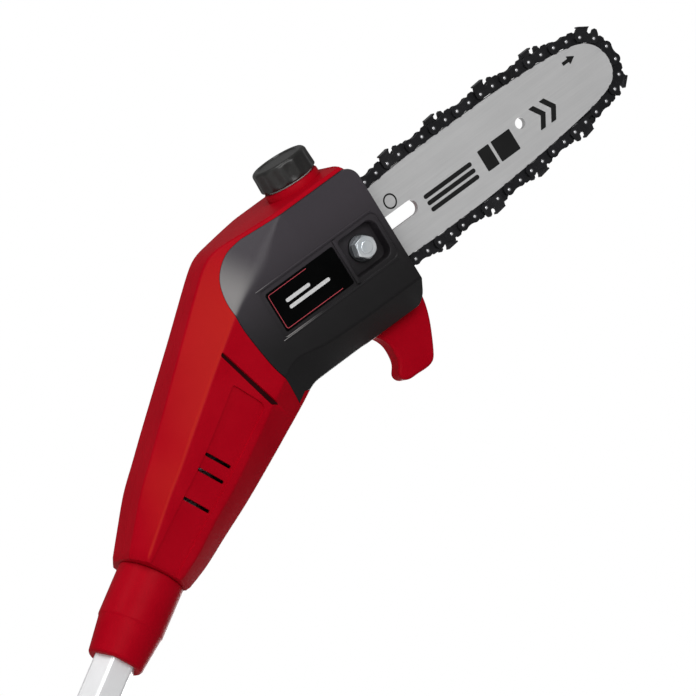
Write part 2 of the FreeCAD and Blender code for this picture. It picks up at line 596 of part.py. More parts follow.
spr = cyl(10.6, (su, sv, 9.0), (su, sv, 15.6)).fuse(star_at(9.0)).fuse(star_at(14.0)).cut(cyl(4.0, (su, sv, 5), (su, sv, 20)))
put("drive_sprocket", spr, HM)
shaft = cyl(4.0, (su, sv, -22.5), (su, sv, 18.5))
put("sprocket_shaft", shaft, HM)
br = cyl(8.0, (su, sv, -0.8), (su, sv, 4.6)).cut(cyl(4.04, (su, sv, -2), (su, sv, 6)))
br2 = cyl(7.95, (su, sv, -22.0), (su, sv, -16.6)).cut(cyl(4.04, (su, sv, -24), (su, sv, -10)))
put("shaft_bearings", Part.makeCompound([br, br2]), HM)
worm = cyl(5.6, (su, sv, -15.8), (su, sv, -12.6)).cut(cyl(4.0, (su, sv, -20), (su, sv, -5)))
put("pump_worm", worm, HM)

# bevel pair: apex at the shaft's crossing; gear on +Y, pinion on -Z side of the apex
ratio = PINION_TEETH / GEAR_TEETH
pin_r = GEAR_R * ratio
cone = math.hypot(GEAR_R, pin_r)
MOD = 2 * GEAR_R / GEAR_TEETH
ADD, DED = 0.75 * MOD, 1.05 * MOD
FACE_W = 7.0


def bevel(teeth, r, other, frac):
    """bevel gear on +Z with its apex at the origin: r is the pitch radius at the big end, at height other"""
    L = math.hypot(r, other)
    k = (L - FACE_W) / L
    # unit vectors along the pitch cone and normal to it, in r, z
    cu_, cz_ = r / L, other / L
    nu_, nz_ = other / L, -r / L        # outwards from the axis, and towards the apex side
    root = [(r - DED * nu_, other - DED * nz_), ((r - DED * nu_) * k, (other - DED * nz_) * k)]
    back = (root[0][0] - 0.0, root[0][1])
    prof = [(0, root[1][1]), (root[1][0], root[1][1]), (root[0][0], root[0][1]), (root[0][0] - 1.0, root[0][1] + 2.2), (0, root[0][1] + 2.2)]
    body = Part.Face(Part.makePolygon([V(p[0], 0, p[1]) for p in prof] + [V(prof[0][0], 0, prof[0][1])])).revolve(V(0, 0, 0), V(0, 0, 1), 360)
    ta = math.pi * MOD * frac / 2          # half thickness at the pitch line
    tip = ta - ADD * 0.42
    bot = ta + DED * 0.30
    wires = []
    for scale in (1.0, k):
        ring = []
        for off, half in ((-DED - 0.3, bot), (ADD, tip)):
            rr, zz = (r + off * nu_) * scale, (other + off * nz_) * scale
            ring.append((rr, zz, half * scale))
        (r0, z0, h0), (r1, z1, h1) = ring
        wires.append(Part.makePolygon([V(r0, -h0, z0), V(r0, h0, z0), V(r1, h1, z1), V(r1, -h1, z1), V(r0, -h0, z0)]))
    tooth = Part.makeLoft(wires, True, True)
    out = body
    for i in range(teeth):
        t = tooth.copy()
        t.rotate(V(0, 0, 0), V(0, 0, 1), 360.0 * i / teeth)
        out = out.fuse(t)
    return out


gear = bevel(GEAR_TEETH, GEAR_R, pin_r, 0.40)
gear.rotate(V(0, 0, 0), V(0, 0, 1), 360.0 / GEAR_TEETH / 2)
gear = gear.fuse(cyl(7.5, (0, 0, pin_r * 0.7), (0, 0, 12.4)))
gear = gear.cut(cyl(4.0, (0, 0, -5), (0, 0, 40)))
# gear's own +Z to the object's +Y, its +X to -Z
gm = FreeCAD.Matrix(0, 1, 0, 0, 0, 0, 1, 0, 1, 0, 0, APEX_Z + HEAD_Z, 0, 0, 0, 1)
pinion = bevel(PINION_TEETH, pin_r, GEAR_R, 0.40)
pinion = pinion.fuse(cyl(4.6, (0, 0, GEAR_R), (0, 0, GEAR_R + 6))).cut(cyl(2.5, (0, 0, 0), (0, 0, 60)))
# pinion's +Z to the object's -Z
pm = FreeCAD.Matrix(0, 1, 0, 0, 1, 0, 0, 0, 0, 0, -1, APEX_Z + HEAD_Z, 0, 0, 0, 1)
put("bevel_gear", gear.removeSplitter(), gm)
put("motor_pinion", pinion.removeSplitter(), pm)
put("motor_shaft", cyl(2.5, (0, 0, 72), (0, 0, APEX_Z - GEAR_R * 0.62)), UP)

can = cyl(21.0, (0, 0, 88), (0, 0, 162)).cut(cyl(18.0, (0, 0, 91), (0, 0, 159))).cut(cyl(3.2, (0, 0, 80), (0, 0, 170)))
can = can.cut(box(-30, -5, 100, 30, 5, 104)).cut(box(-5, -30, 146, 5, 30, 150))
put("motor_can", can, UP)
rot = cyl(13.0, (0, 0, 98), (0, 0, 152)).cut(cyl(2.5, (0, 0, 80), (0, 0, 170)))
for k in range(8):
    a = math.radians(45 * k)
    rot = rot.cut(box(-0.9, 10.5, 90, 0.9, 14.5, 160).rotated(V(0, 0, 0), V(0, 0, 1), 45 * k))
put("motor_rotor", rot, UP)
fan = cyl(5.0, (0, 0, 168), (0, 0, 176))
for k in range(7):
    fan = fan.fuse(box(3.5, -0.8, 168.5, 17.5, 0.8, 175.5).rotated(V(0, 0, 0), V(0, 0, 1), 360.0 * k / 7))
fan = fan.cut(cyl(2.5, (0, 0, 160), (0, 0, 180)))
put("motor_fan", fan, UP)

# gear case plate behind the bay floor, with the bar stud screwed into it
gc = rprism([(207.5, 131.5), (284.0, 131.5), (284.0, 100.0), (262, 92), (207.5, 108.0)], [0, 4, 4, 4, 0], 1.8, 5.2)
gc = gc.fuse(cyl(11.8, (su, sv, -0.8), (su, sv, 5.2))).fuse(cyl(9.0, (STUD[0], STUD[1], -3), (STUD[0], STUD[1], 5.2)))
gc = gc.cut(cyl(8.0, (su, sv, -3), (su, sv, 4.65))).cut(cyl(5.0, (su, sv, -3), (su, sv, 9))).cut(cyl(3.95, (STUD[0], STUD[1], -5), (STUD[0], STUD[1], 9)))
gc = gc.cut(box(236, 128.4, 0, 300, 150, 9))
put("gear_case", biggest(gc.removeSplitter()), HM)
st = cyl(3.95, (STUD[0], STUD[1], -2.5), (STUD[0], STUD[1], 31.2))
put("bar_stud", soft(st, 0.6, lambda e: e.CenterOfMass.z > 31), HM)
hx = hexagon(13.0, 0, 6.6, 0.4)
cone1 = Part.makeCone(9.6, 5.2, 4.4, V(0, 0, 3.2))
cyl1 = cyl(9.6, (0, 0, -0.1), (0, 0, 3.2)).fuse(cone1)
nut = hx.common(cyl1).cut(cyl(4.0, (0, 0, -1), (0, 0, 10)))
nut.rotate(V(0, 0, 0), V(0, 0, 1), 17)
nut.translate(V(STUD[0], STUD[1], 24.1))
put("bar_nut", nut, HM)
ws = cyl(8.4, (STUD[0], STUD[1], 22.45), (STUD[0], STUD[1], 24.05)).cut(cyl(4.05, (STUD[0], STUD[1], 20), (STUD[0], STUD[1], 30)))
put("bar_washer", soft(ws, 0.3, lambda e: abs(e.CenterOfMass.z - 24.05) < 0.01 and e.BoundBox.XLength > 15), HM)

# chain tensioner
ts = cyl(1.9, (254.6, PIN[1], 4.4), (286.0, PIN[1], 4.4)).fuse(cyl(3.2, (286.0, PIN[1], 4.4), (289.6, PIN[1], 4.4)))
ts = ts.cut(box(288.2, PIN[1] - 0.6, 0, 291, PIN[1] + 0.6, 8.9))
put("tension_screw", ts, HM)
tp = box(241.5, PIN[1] - 3.6, 1.4, 251.6, PIN[1] + 3.6, 7.4).fuse(cyl(2.0, (PIN[0], PIN[1], 6), (PIN[0], PIN[1], 13.6)))
put("tension_pin", tp, HM)

# oil tank, cap, seal and pump in the left half
tank = rprism([(236, 161.5), (284.5, 161.5), (284.5, 88), (236, 88)], [3, 3, 8, 8], -28.6, -17.8)
tank = tank.fuse(rprism([(240, 161.5), (284.5, 161.5), (284.5, 142), (240, 142)], 3, -18.5, -1.0))
tank = tank.fuse(cyl(14.9, (CAP_U, 150, 0), (CAP_U, 172.0, 0)))
tank = tank.cut(rprism([(238, 159.5), (282.5, 159.5), (282.5, 90), (238, 90)], [3, 3, 8, 8], -26.6, -19.8))
tank = tank.cut(rprism([(242, 159.5), (282.5, 159.5), (282.5, 144), (242, 144)], 2, -20.5, -3.0))
tank = tank.cut(cyl(12.6, (CAP_U, 152, 0), (CAP_U, 180, 0)))
tank = tank.cut(box(236, 138, 3.0, 290, 164.7, 20))
put("oil_tank", biggest(tank), HM)
cap = cyl(CAP_R, (CAP_U, CAP_V0, 0), (CAP_U, CAP_V0 + CAP_H, 0))
cap = soft(cap, 2.6, lambda e: abs(e.CenterOfMass.y - CAP_V0 - CAP_H) < 0.01)
cap = cap.fuse(cyl(12.2, (CAP_U, 166.0, 0), (CAP_U, CAP_V0 + 1, 0))).cut(cyl(10.0, (CAP_U, 155.0, 0), (CAP_U, CAP_V0 + 4, 0)))
put("oil_cap", cap, HM)
seal = cyl(14.4, (CAP_U, 172.1, 0), (CAP_U, 172.85, 0)).cut(cyl(12.3, (CAP_U, 170, 0), (CAP_U, 175, 0)))
put("oil_cap_seal", seal, HM)
pump = rprism([(219.5, 100), (232.0, 100), (232.0, 121), (219.5, 121)], 2, -22.5, -13.4).fuse(cyl(2.6, (226.0, 102, -18), (226.0, 88, -18))).fuse(cyl(2.4, (230.5, 110.5, -20.2), (235.9, 110.5, -20.2)))
put("oil_pump", pump, HM)

# branch hook under the front of the head
hk = [(296.0, 69.0), (294.4, 62.5), (290.2, 52.6), (286.6, 46.2), (281.4, 38.0), (277.9, 34.2), (272.9, 32.6), (261.7, 32.8), (255.7, 33.0), (251.0, 35.1), (249.6, 38.5),
      (253.3, 43.6), (255.5, 50.2), (255.4, 56.3), (252.5, 62.5), (247.0, 67.2)]
cur = Part.BSplineCurve()
cur.interpolate([V(p[0], p[1], 0) for p in hk])
hf = Part.Face(Part.Wire([cur.toShape(), Part.LineSegment(V(247.0, 67.2, 0), V(296.0, 69.0, 0)).toShape()]))
hook = slab(hf, -9.0, 9.0)

hook = soft(hook, 2.4, lambda e: abs(abs(e.CenterOfMass.z) - 9.0) < 0.01 and e.CenterOfMass.y < 66)
put("branch_hook", biggest(moved(hook, HL).cut(shell_out)), UP)

# screws that hold the two halves together, in from the left side
scr = []
for x, z in ((-28, 150), (20, 150), (-33, 225), (uv(276, 76)[0], uv(276, 76)[1]), (8, 78), (-8, 78)):
    y1 = min(HALF, side_depth(z)) - 0.2
    s_ = cyl(3.2, (x, y1 - 2.6, z), (x, y1, z)).fuse(cyl(1.6, (x, y1 - 12, z), (x, y1 - 2, z)))
    scr.append((s_, x, z, y1))
left_shape = NODES["housing_left"][0]
for s_, x, z, y1 in scr:
    left_shape = left_shape.cut(moved(cyl(3.3, (x, y1 - 2.65, z), (x, y1 + 10, z)).fuse(cyl(1.65, (x, 0, z), (x, 40, z))), UP))
NODES["housing_left"] = [biggest(left_shape)]
put("head_screws", Part.makeCompound([s[0] for s in scr]), UP)

# ---------------------------------------------------------------- rear handle
def handle_solid(t):
    foot_ = rprism([(-44 + t, -36 + t), (44 - t, -36 + t), (44 - t, 36 - t), (-44 + t, 36 - t)], 10 - t, 62 + t, 92 - t)
    grip_ = to_y(rprism([(-30, 86), (-19.5, 112), (-17.5, 150), (-18, 215), (-23, 262), (-23, 330), (23, 330), (22, 290), (16, 268), (15.5, 150), (18, 112), (30, 86)],
                        [2, 20, 40, 60, 40, 3, 3, 20, 20, 60, 20, 2], -17.5, 17.5))
    return foot_, grip_


foot_, grip_ = handle_solid(0)
for gr_ in (8.0, 6.5, 5.0, 3.5, 2.0):
    g2 = soft(grip_, gr_, lambda e: abs(abs(e.CenterOfMass.y) - 17.5) < 0.01 and e.CenterOfMass.z < 329 and e.CenterOfMass.z > 88)
    if abs(g2.Volume - grip_.Volume) > 1:
        grip_ = g2
        print("grip edges", gr_)
        break
sleeve = soft(cyl(22.5, (0, 0, 262), (0, 0, 345)), 3.0, lambda e: e.CenterOfMass.z > 344)
guard = to_y(rprism([(36, 80), (58, 118), (60, 240), (44, 296), (16, 326), (12, 308), (35, 284), (48, 238), (47, 122), (26, 92), (26, 80)],
                    [0, 20, 30, 30, 4, 4, 24, 20, 16, 6, 0], -9.0, 9.0))
guard = soft(guard, 3.0, lambda e: abs(abs(e.CenterOfMass.y) - 9.0) < 0.01 and e.CenterOfMass.x > 30 and e.CenterOfMass.z > 100)
foot_ = soft(foot_, 4.0, lambda e: abs(e.CenterOfMass.z - 92) < 0.01)
hs = foot_.fuse(grip_).fuse(sleeve).fuse(guard)
# hollow inside
hs = hs.cut(rprism([(-41, -33), (41, -33), (41, 33), (-41, 33)], 8, 69.5, 89.2))
hs = hs.cut(box(-13.5, -13, 88, 11.5, 13, 272))
hs = hs.cut(cyl(15.0, (0, 0, 270), (0, 0, 299.8)))
hs = hs.cut(hexagon(OUTER_AF + 0.04, 299.8, 350, 2.4))
# undercut channel for the battery, open towards +X
hs = hs.cut(box(-38, -25.6, 64.4, 60, 25.6, 69.6)).cut(box(-38, -20.6, 60, 60, 20.6, 66))
# trigger slot and button hole
hs = hs.cut(box(4, -6.4, 202, 40, 6.4, 270))
hs = hs.cut(to_y(rprism([(-40, 228), (-10, 228), (-10, 250), (-40, 250)], 0, -5.4, 5.4)))
hs = hs.cut(cyl(2.05, (7.5, -12, 264), (7.5, 12, 264)))
hl = biggest(hs.common(box(-100, 0.05, 0, 100, 80, 400)))
hr = biggest(hs.common(box(-100, -80, 0, 100, -0.05, 400)))
hscr = []
for x, z in ((-16, 104), (16, 108), (-8, 196.0), (53, 180), (0, 285.0)):
    y1 = {53: 9.0}.get(x, 17.5)
    if z == 285.0:
        x, y1 = 19.0, 11.0
    hscr.append((x, z, y1))
scs = []
for x, z, y1 in hscr:
    hr = hr.cut(cyl(2.9, (x, -40, z), (x, -y1 + 2.5, z))).cut(cyl(1.55, (x, -y1, z), (x, 0, z)))
    hl = hl.cut(cyl(1.55, (x, -0.5, z), (x, 5.2, z)))
    scs.append(cyl(2.8, (x, -y1 + 0.3, z), (x, -y1 + 2.5, z)).fuse(cyl(1.5, (x, -y1 + 2.4, z), (x, 5.0, z))))
put("handle_left", biggest(hl))
put("handle_right", biggest(hr))
put("handle_screws", Part.makeCompound(scs))
tr = rprism([(4.5, 259), (4.5, 268), (12, 269.3), (15.5, 266), (24, 250), (24.5, 232), (22, 214), (24.5, 206), (19, 204.6), (8.6, 207), (6.4, 236)],
            [2, 3, 2, 2, 12, 20, 10, 1.5, 2, 2, 20], -5.9, 5.9)
tr = soft(tr, 1.2, lambda e: abs(abs(e.CenterOfMass.z) - 5.9) < 0.01 and e.CenterOfMass.x > 16)
tr = to_y(tr).cut(cyl(2.08, (7.5, -12, 264), (7.5, 12, 264)))
put("trigger", tr)
put("trigger_pin", cyl(2.0, (7.5, -11.5, 264), (7.5, 11.5, 264)))
spring = None
for k in range(4):
    t_ = Part.makeTorus(3.1, 0.45, V(7.5, 7.0 + k * 0.95, 264), V(0, 1, 0))
    spring = [t_] if spring is None else spring + [t_]
put("trigger_spring", Part.makeCompound(spring))
lock = rprism([(-22.6, 232), (-22.6, 246), (-13.8, 247.5), (-13.8, 230.5)], [2.5, 2.5, 0.5, 0.5], -5.0, 5.0)
put("lock_off_button", to_y(lock))
sw = box(-9.5, -6.2, 212, 0.4, 6.2, 226).fuse(cyl(1.8, (0.2, 0, 219), (1.9, 0, 219)))
put("switch_body", sw)
put("control_board", box(-12.5, -9.5, 118, -10.9, 9.5, 176).fuse(box(-10.9, -6, 130, -5, 6, 146)))
tb = box(-20, -14, 69.8, 22, 14, 78)
for y in (-9, 9):
    tb = tb.fuse(box(-14, y - 0.5, 65.6, 14, y + 0.5, 70))
put("battery_terminals", tb)

bp = rprism([(-BATTERY_X, -BATTERY_Y), (BATTERY_X, -BATTERY_Y), (BATTERY_X, BATTERY_Y), (-BATTERY_X, BATTERY_Y)], 9, 0, BATTERY_Z + 1.6)
bp = soft(bp, 3.5, lambda e: abs(e.CenterOfMass.z) < 0.01 or abs(e.CenterOfMass.z - BATTERY_Z - 1.6) < 0.01)
bp = bp.fuse(box(-37.4, -20.0, 60, 40, 20.0, 66)).fuse(box(-37.4, -25.0, 65.0, 40, 25.0, 69.0))
for y in (-9, 9):
    bp = bp.cut(box(-60, y - 1.6, 64.6, 16, y + 1.6, 72))
bp = bp.cut(box(-60, -13.4, 22, -45.5, 13.4, 40))
put("battery_pack", bp)
bl = rprism([(-53.2, -13.0), (-49.0, -13.0), (-49.0, 13.0), (-53.2, 13.0)], [1.6, 0.4, 0.4, 1.6], 22.4, 39.6)
put("battery_latch", bl)

# ---------------------------------------------------------------- write
total = 0
for name, solids in NODES.items():
    bad = [s for s in solids if not s.isValid() or s.Volume <= 0]
    shape = solids[0] if len(solids) == 1 else Part.makeCompound(solids)
    shape.exportStep("parts/%s.step" % name)
    bb_ = shape.BoundBox
    total += 1
    print("%-20s solids %3d vol %9.1f %s  x %.1f..%.1f y %.1f..%.1f z %.1f..%.1f" % (
        name, len(solids), sum(s.Volume for s in solids), "BAD" if bad else "ok", bb_.XMin, bb_.XMax, bb_.YMin, bb_.YMax, bb_.ZMin, bb_.ZMax))
print("nodes", total)
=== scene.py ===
import json
import math

import bmesh
import bpy
from mathutils.bvhtree import BVHTree
from mathutils import Matrix, Vector

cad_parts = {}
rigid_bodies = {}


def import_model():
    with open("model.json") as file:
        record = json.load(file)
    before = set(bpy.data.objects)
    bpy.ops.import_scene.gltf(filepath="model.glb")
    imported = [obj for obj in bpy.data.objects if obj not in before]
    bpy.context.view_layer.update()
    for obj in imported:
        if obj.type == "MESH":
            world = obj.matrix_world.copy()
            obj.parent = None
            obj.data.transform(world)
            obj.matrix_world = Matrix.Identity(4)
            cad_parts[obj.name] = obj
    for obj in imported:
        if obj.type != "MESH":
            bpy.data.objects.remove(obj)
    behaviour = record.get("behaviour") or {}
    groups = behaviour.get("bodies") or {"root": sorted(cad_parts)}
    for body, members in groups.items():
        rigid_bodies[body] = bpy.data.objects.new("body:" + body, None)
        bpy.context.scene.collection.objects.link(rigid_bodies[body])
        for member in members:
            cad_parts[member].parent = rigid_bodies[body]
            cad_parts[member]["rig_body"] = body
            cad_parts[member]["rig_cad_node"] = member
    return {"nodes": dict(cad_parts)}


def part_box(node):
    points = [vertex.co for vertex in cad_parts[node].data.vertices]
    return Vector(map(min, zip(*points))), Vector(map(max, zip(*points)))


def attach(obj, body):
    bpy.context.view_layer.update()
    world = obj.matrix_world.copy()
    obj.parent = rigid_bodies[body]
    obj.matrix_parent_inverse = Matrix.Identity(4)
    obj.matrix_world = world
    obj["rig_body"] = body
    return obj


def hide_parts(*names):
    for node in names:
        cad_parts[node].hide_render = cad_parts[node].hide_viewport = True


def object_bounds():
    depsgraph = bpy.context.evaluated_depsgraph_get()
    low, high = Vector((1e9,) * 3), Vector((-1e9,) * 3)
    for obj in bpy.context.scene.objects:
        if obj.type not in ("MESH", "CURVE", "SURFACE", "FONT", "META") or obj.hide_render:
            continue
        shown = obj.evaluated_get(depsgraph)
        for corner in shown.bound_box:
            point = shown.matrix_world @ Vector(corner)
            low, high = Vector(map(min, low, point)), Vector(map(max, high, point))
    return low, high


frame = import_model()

CAD_BOX = [list(map(float, c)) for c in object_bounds()]
nodes = frame["nodes"]
scene = bpy.context.scene
scene.view_settings.view_transform = "Standard"
MM = 0.001
S30, C30 = 0.5, math.sqrt(3) / 2
HEAD_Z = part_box("head_collar")[0].z            # datum of the head: lower end of its collar
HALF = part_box("housing_left")[1].y * 1000.0    # half thickness of the head, mm


def H(x, y, z):
    """head millimetres to metres in the object's frame"""
    return Vector((x * MM, y * MM, HEAD_Z + z * MM))


def P(u, v, w):
    """bar frame millimetres (u along the bar, v towards the oil cap, w towards the cover) to metres"""
    return H(S30 * u - C30 * v, -w, C30 * u + S30 * v)


# ------------------------------------------------------------------ camera, floor and light
def camera():
    right = Vector((0.81252, -0.44565, 0.37578)).normalized()
    back = Vector((-0.36197, -0.89101, -0.27402)).normalized()
    up = back.cross(right).normalized()
    right = up.cross(back).normalized()
    scale = 1700.0                     # frame elements per metre, frame 696 wide
    target = Vector((0, 0, HEAD_Z)) + right * ((348 - 114.5) / scale) + up * ((663.4 - 348) / scale)
    dist = 12.0
    data = bpy.data.cameras.new("camera")
    data.sensor_width = 36.0
    data.lens = 36.0 * dist / (696 / scale)
    data.clip_start, data.clip_end = 0.1, 400.0
    cam = bpy.data.objects.new("camera", data)
    m = Matrix((right, up, back)).transposed().to_4x4()
    m.translation = target + back * dist
    cam.matrix_world = m
    scene.collection.objects.link(cam)
    scene.camera = cam


def area(name, loc, to, size, power, colour=(1, 1, 1)):
    data = bpy.data.lights.new(name, "AREA")
    data.shape = "RECTANGLE"
    data.size, data.size_y = size
    data.energy = power
    data.color = colour
    ob = bpy.data.objects.new(name, data)
    loc, to = Vector(loc), Vector(to)
    ob.rotation_mode = "QUATERNION"
    ob.rotation_quaternion = (to - loc).to_track_quat("-Z", "Y")
    ob.location = loc
    scene.collection.objects.link(ob)
    return ob


camera()
world = bpy.data.worlds.new("studio")
world.use_nodes = True
wt = world.node_tree
bg = wt.nodes["Background"]
tc_ = wt.nodes.new("ShaderNodeTexCoord")
dot = wt.nodes.new("ShaderNodeVectorMath")
dot.operation = "DOT_PRODUCT"
dot.inputs[1].default_value = (0.362, 0.891, 0.274)     # the side behind the object is lit white
wt.links.new(tc_.outputs["Generated"], dot.inputs[0])
glow = wt.nodes.new("ShaderNodeMapRange")
glow.interpolation_type = "SMOOTHSTEP"
glow.inputs["From Min"].default_value = 0.985
glow.inputs["From Max"].default_value = 0.998
glow.inputs["To Min"].default_value = 0.24
glow.inputs["To Max"].default_value = 1.0
wt.links.new(dot.outputs["Value"], glow.inputs["Value"])
wt.links.new(glow.outputs["Result"], bg.inputs["Strength"])
bg.inputs["Color"].default_value = (1.0, 1.0, 1.0, 1.0)
scene.world = world
HEAD = Vector((0.02, 0, HEAD_Z + 0.22))
area("key_softbox", HEAD + Vector((-0.75, -2.2, 0.75)), HEAD, (1.3, 1.3), 25.0)
area("left_softbox", HEAD + Vector((-1.75, -0.30, 0.80)), HEAD, (0.45, 1.3), 13.0)
area("rear_softbox", HEAD + Vector((1.7, 1.9, 0.3)), HEAD + Vector((0, 0, -0.4)), (1.2, 1.6), 30.0)
area("low_fill", Vector((-1.4, -1.8, 0.9)), Vector((0, 0, 0.45)), (1.2, 1.2), 14.0)


# ------------------------------------------------------------------ materials
def principled(name):
    m = bpy.data.materials.new(name)
    m.use_nodes = True
    return m, m.node_tree, m.node_tree.nodes["Principled BSDF"]


def node(nt, kind, **kw):
    n = nt.nodes.new(kind)
    for k, v in kw.items():
        setattr(n, k, v)
    return n


def noise(nt, scale, detail=3.0, rough=0.6, stretch=None):
    tc = node(nt, "ShaderNodeTexCoord")
    n = node(nt, "ShaderNodeTexNoise")
    n.inputs["Scale"].default_value = scale
    n.inputs["Detail"].default_value = detail
    n.inputs["Roughness"].default_value = rough
    if stretch:
        mp = node(nt, "ShaderNodeMapping")
        mp.inputs["Scale"].default_value = stretch[0]
        mp.inputs["Rotation"].default_value = stretch[1]
        nt.links.new(tc.outputs["Object"], mp.inputs["Vector"])
        nt.links.new(mp.outputs["Vector"], n.inputs["Vector"])
    else:
        nt.links.new(tc.outputs["Object"], n.inputs["Vector"])
    return n


def ramp(nt, src, lo, hi, a, b):
    r = node(nt, "ShaderNodeMapRange")
    r.inputs["From Min"].default_value = lo
    r.inputs["From Max"].default_value = hi
    r.inputs["To Min"].default_value = a
    r.inputs["To Max"].default_value = b
    nt.links.new(src, r.inputs["Value"])
    return r


def mix(nt, fac, a, b):
    m = node(nt, "ShaderNodeMix", data_type="RGBA")
    m.inputs[6].default_value = (*a, 1) if not hasattr(a, "links") else (0, 0, 0, 1)
    m.inputs[7].default_value = (*b, 1) if not hasattr(b, "links") else (0, 0, 0, 1)
    if hasattr(a, "links"):
        nt.links.new(a, m.inputs[6])
    if hasattr(b, "links"):
        nt.links.new(b, m.inputs[7])
    nt.links.new(fac, m.inputs[0])
    return m


def plastic(name, colour, rough=0.42, grain=1400.0, bump=0.05, vary=0.06, spec=0.5, coat=0.0, dist=0.0004):
    m, nt, b = principled(name)
    big = noise(nt, 35.0, 4.0)
    fac = ramp(nt, big.outputs["Fac"], 0.3, 0.7, 0.0, 1.0)
    dark = [c * (1 - vary) for c in colour]
    lite = [min(1.0, c * (1 + vary) + 0.0015) for c in colour]
    mx = mix(nt, fac.outputs["Result"], dark, lite)
    nt.links.new(mx.outputs[2], b.inputs["Base Color"])
    fine = noise(nt, grain, 2.0, 0.5)
    rr = ramp(nt, fine.outputs["Fac"], 0.3, 0.7, rough - 0.05, rough + 0.07)
    nt.links.new(rr.outputs["Result"], b.inputs["Roughness"])
    bp = node(nt, "ShaderNodeBump")
    bp.inputs["Strength"].default_value = bump
    bp.inputs["Distance"].default_value = dist
    nt.links.new(fine.outputs["Fac"], bp.inputs["Height"])
    nt.links.new(bp.outputs["Normal"], b.inputs["Normal"])
    b.inputs["Specular IOR Level"].default_value = spec
    if coat:
        b.inputs["Coat Weight"].default_value = coat
        b.inputs["Coat Roughness"].default_value = 0.12
    return m


def metal(name, colour, rough=0.3, brushed=None, scratch=0.05, vary=0.08, metallic=1.0, grain=500.0):
    """brushed: (scale xyz, rotation xyz) that draws the noise out along the brushing"""
    m, nt, b = principled(name)
    b.inputs["Metallic"].default_value = metallic
    big = noise(nt, 60.0, 4.0)
    fac = ramp(nt, big.outputs["Fac"], 0.3, 0.7, 0.0, 1.0)
    mx = mix(nt, fac.outputs["Result"], [c * (1 - vary) for c in colour], [min(1, c * (1 + vary)) for c in colour])
    nt.links.new(mx.outputs[2], b.inputs["Base Color"])
    fine = noise(nt, grain, 3.0, 0.6, brushed)
    rr = ramp(nt, fine.outputs["Fac"], 0.3, 0.7, max(0.05, rough - 0.07), rough + 0.08)
    nt.links.new(rr.outputs["Result"], b.inputs["Roughness"])
    bp = node(nt, "ShaderNodeBump")
    bp.inputs["Strength"].default_value = scratch
    bp.inputs["Distance"].default_value = 0.0002
    nt.links.new(fine.outputs["Fac"], bp.inputs["Height"])
    nt.links.new(bp.outputs["Normal"], b.inputs["Normal"])
    return m


BAR_ROT = (0.0, math.radians(-60.0), 0.0)
M = {
    # painted shadow colour for the strip laid in the side groove
    "shadow": plastic("painted_groove_shadow", (0.02, 0.0003, 0.0012), 0.6, spec=0.05),
    "red": plastic("red_plastic", (0.36, 0.0002, 0.0075), 0.42, bump=0.10, vary=0.05, spec=0.03),
    "black": plastic("black_plastic", (0.020, 0.018, 0.020), 0.46, grain=1700.0, bump=0.14, vary=0.12, spec=0.3),
    "cap": plastic("cap_plastic", (0.0095, 0.0095, 0.0088), 0.34, grain=1200.0, bump=0.10, vary=0.15),
    "gloss": plastic("label_plate", (0.0006, 0.0007, 0.0007), 0.14, grain=300.0, bump=0.01, vary=0.1, spec=0.05),
    "foam": plastic("foam", (0.018, 0.018, 0.018), 0.85, grain=900.0, bump=0.6, vary=0.25, spec=0.2, dist=0.0008),
    "rubber": plastic("rubber", (0.014, 0.014, 0.014), 0.7, grain=1500.0, bump=0.2, vary=0.2, spec=0.3),
    "nylon": plastic("nylon", (0.52, 0.52, 0.50), 0.5, vary=0.05),
    "board": plastic("board", (0.02, 0.12, 0.05), 0.45, vary=0.1),
    "alu": metal("anodised_aluminium", (0.86, 0.86, 0.87), 0.36, ((1, 1, 0.04), (0, 0, 0)), 0.04, 0.02, 0.35, 1500.0),
    "zinc": metal("zinc_plated", (0.86, 0.94, 1.0), 0.2, None, 0.12, 0.22, 0.6, 260.0),
    "washer": metal("blackened_washer", (0.06, 0.062, 0.066), 0.34, None, 0.1, 0.2, 0.9, 500.0),
    "steel": metal("ground_steel", (0.50, 0.50, 0.51), 0.3, None, 0.06),
    "chain": metal("blackened_steel", (0.030, 0.030, 0.033), 0.30, None, 0.10, 0.3, 0.8, 700.0),
    "cutter": metal("cutter_steel", (0.045, 0.045, 0.048), 0.26, None, 0.10, 0.3, 0.85, 700.0),
    "rivet": metal("worn_rivet", (0.10, 0.10, 0.105), 0.3, None, 0.05, 0.05, 1.0, 700.0),
    "worn_glint": metal("worn_and_glint_rivet_centre", (0.80, 0.80, 0.82), 0.22, None, 0.05, 0.05, 0.5, 700.0),
    "cast": metal("cast_alloy", (0.55, 0.55, 0.57), 0.5, None, 0.3, 0.1, 1.0, 500.0),
    "copper": metal("windings", (0.62, 0.28, 0.12), 0.35, None, 0.2, 0.2, 1.0, 700.0),
}


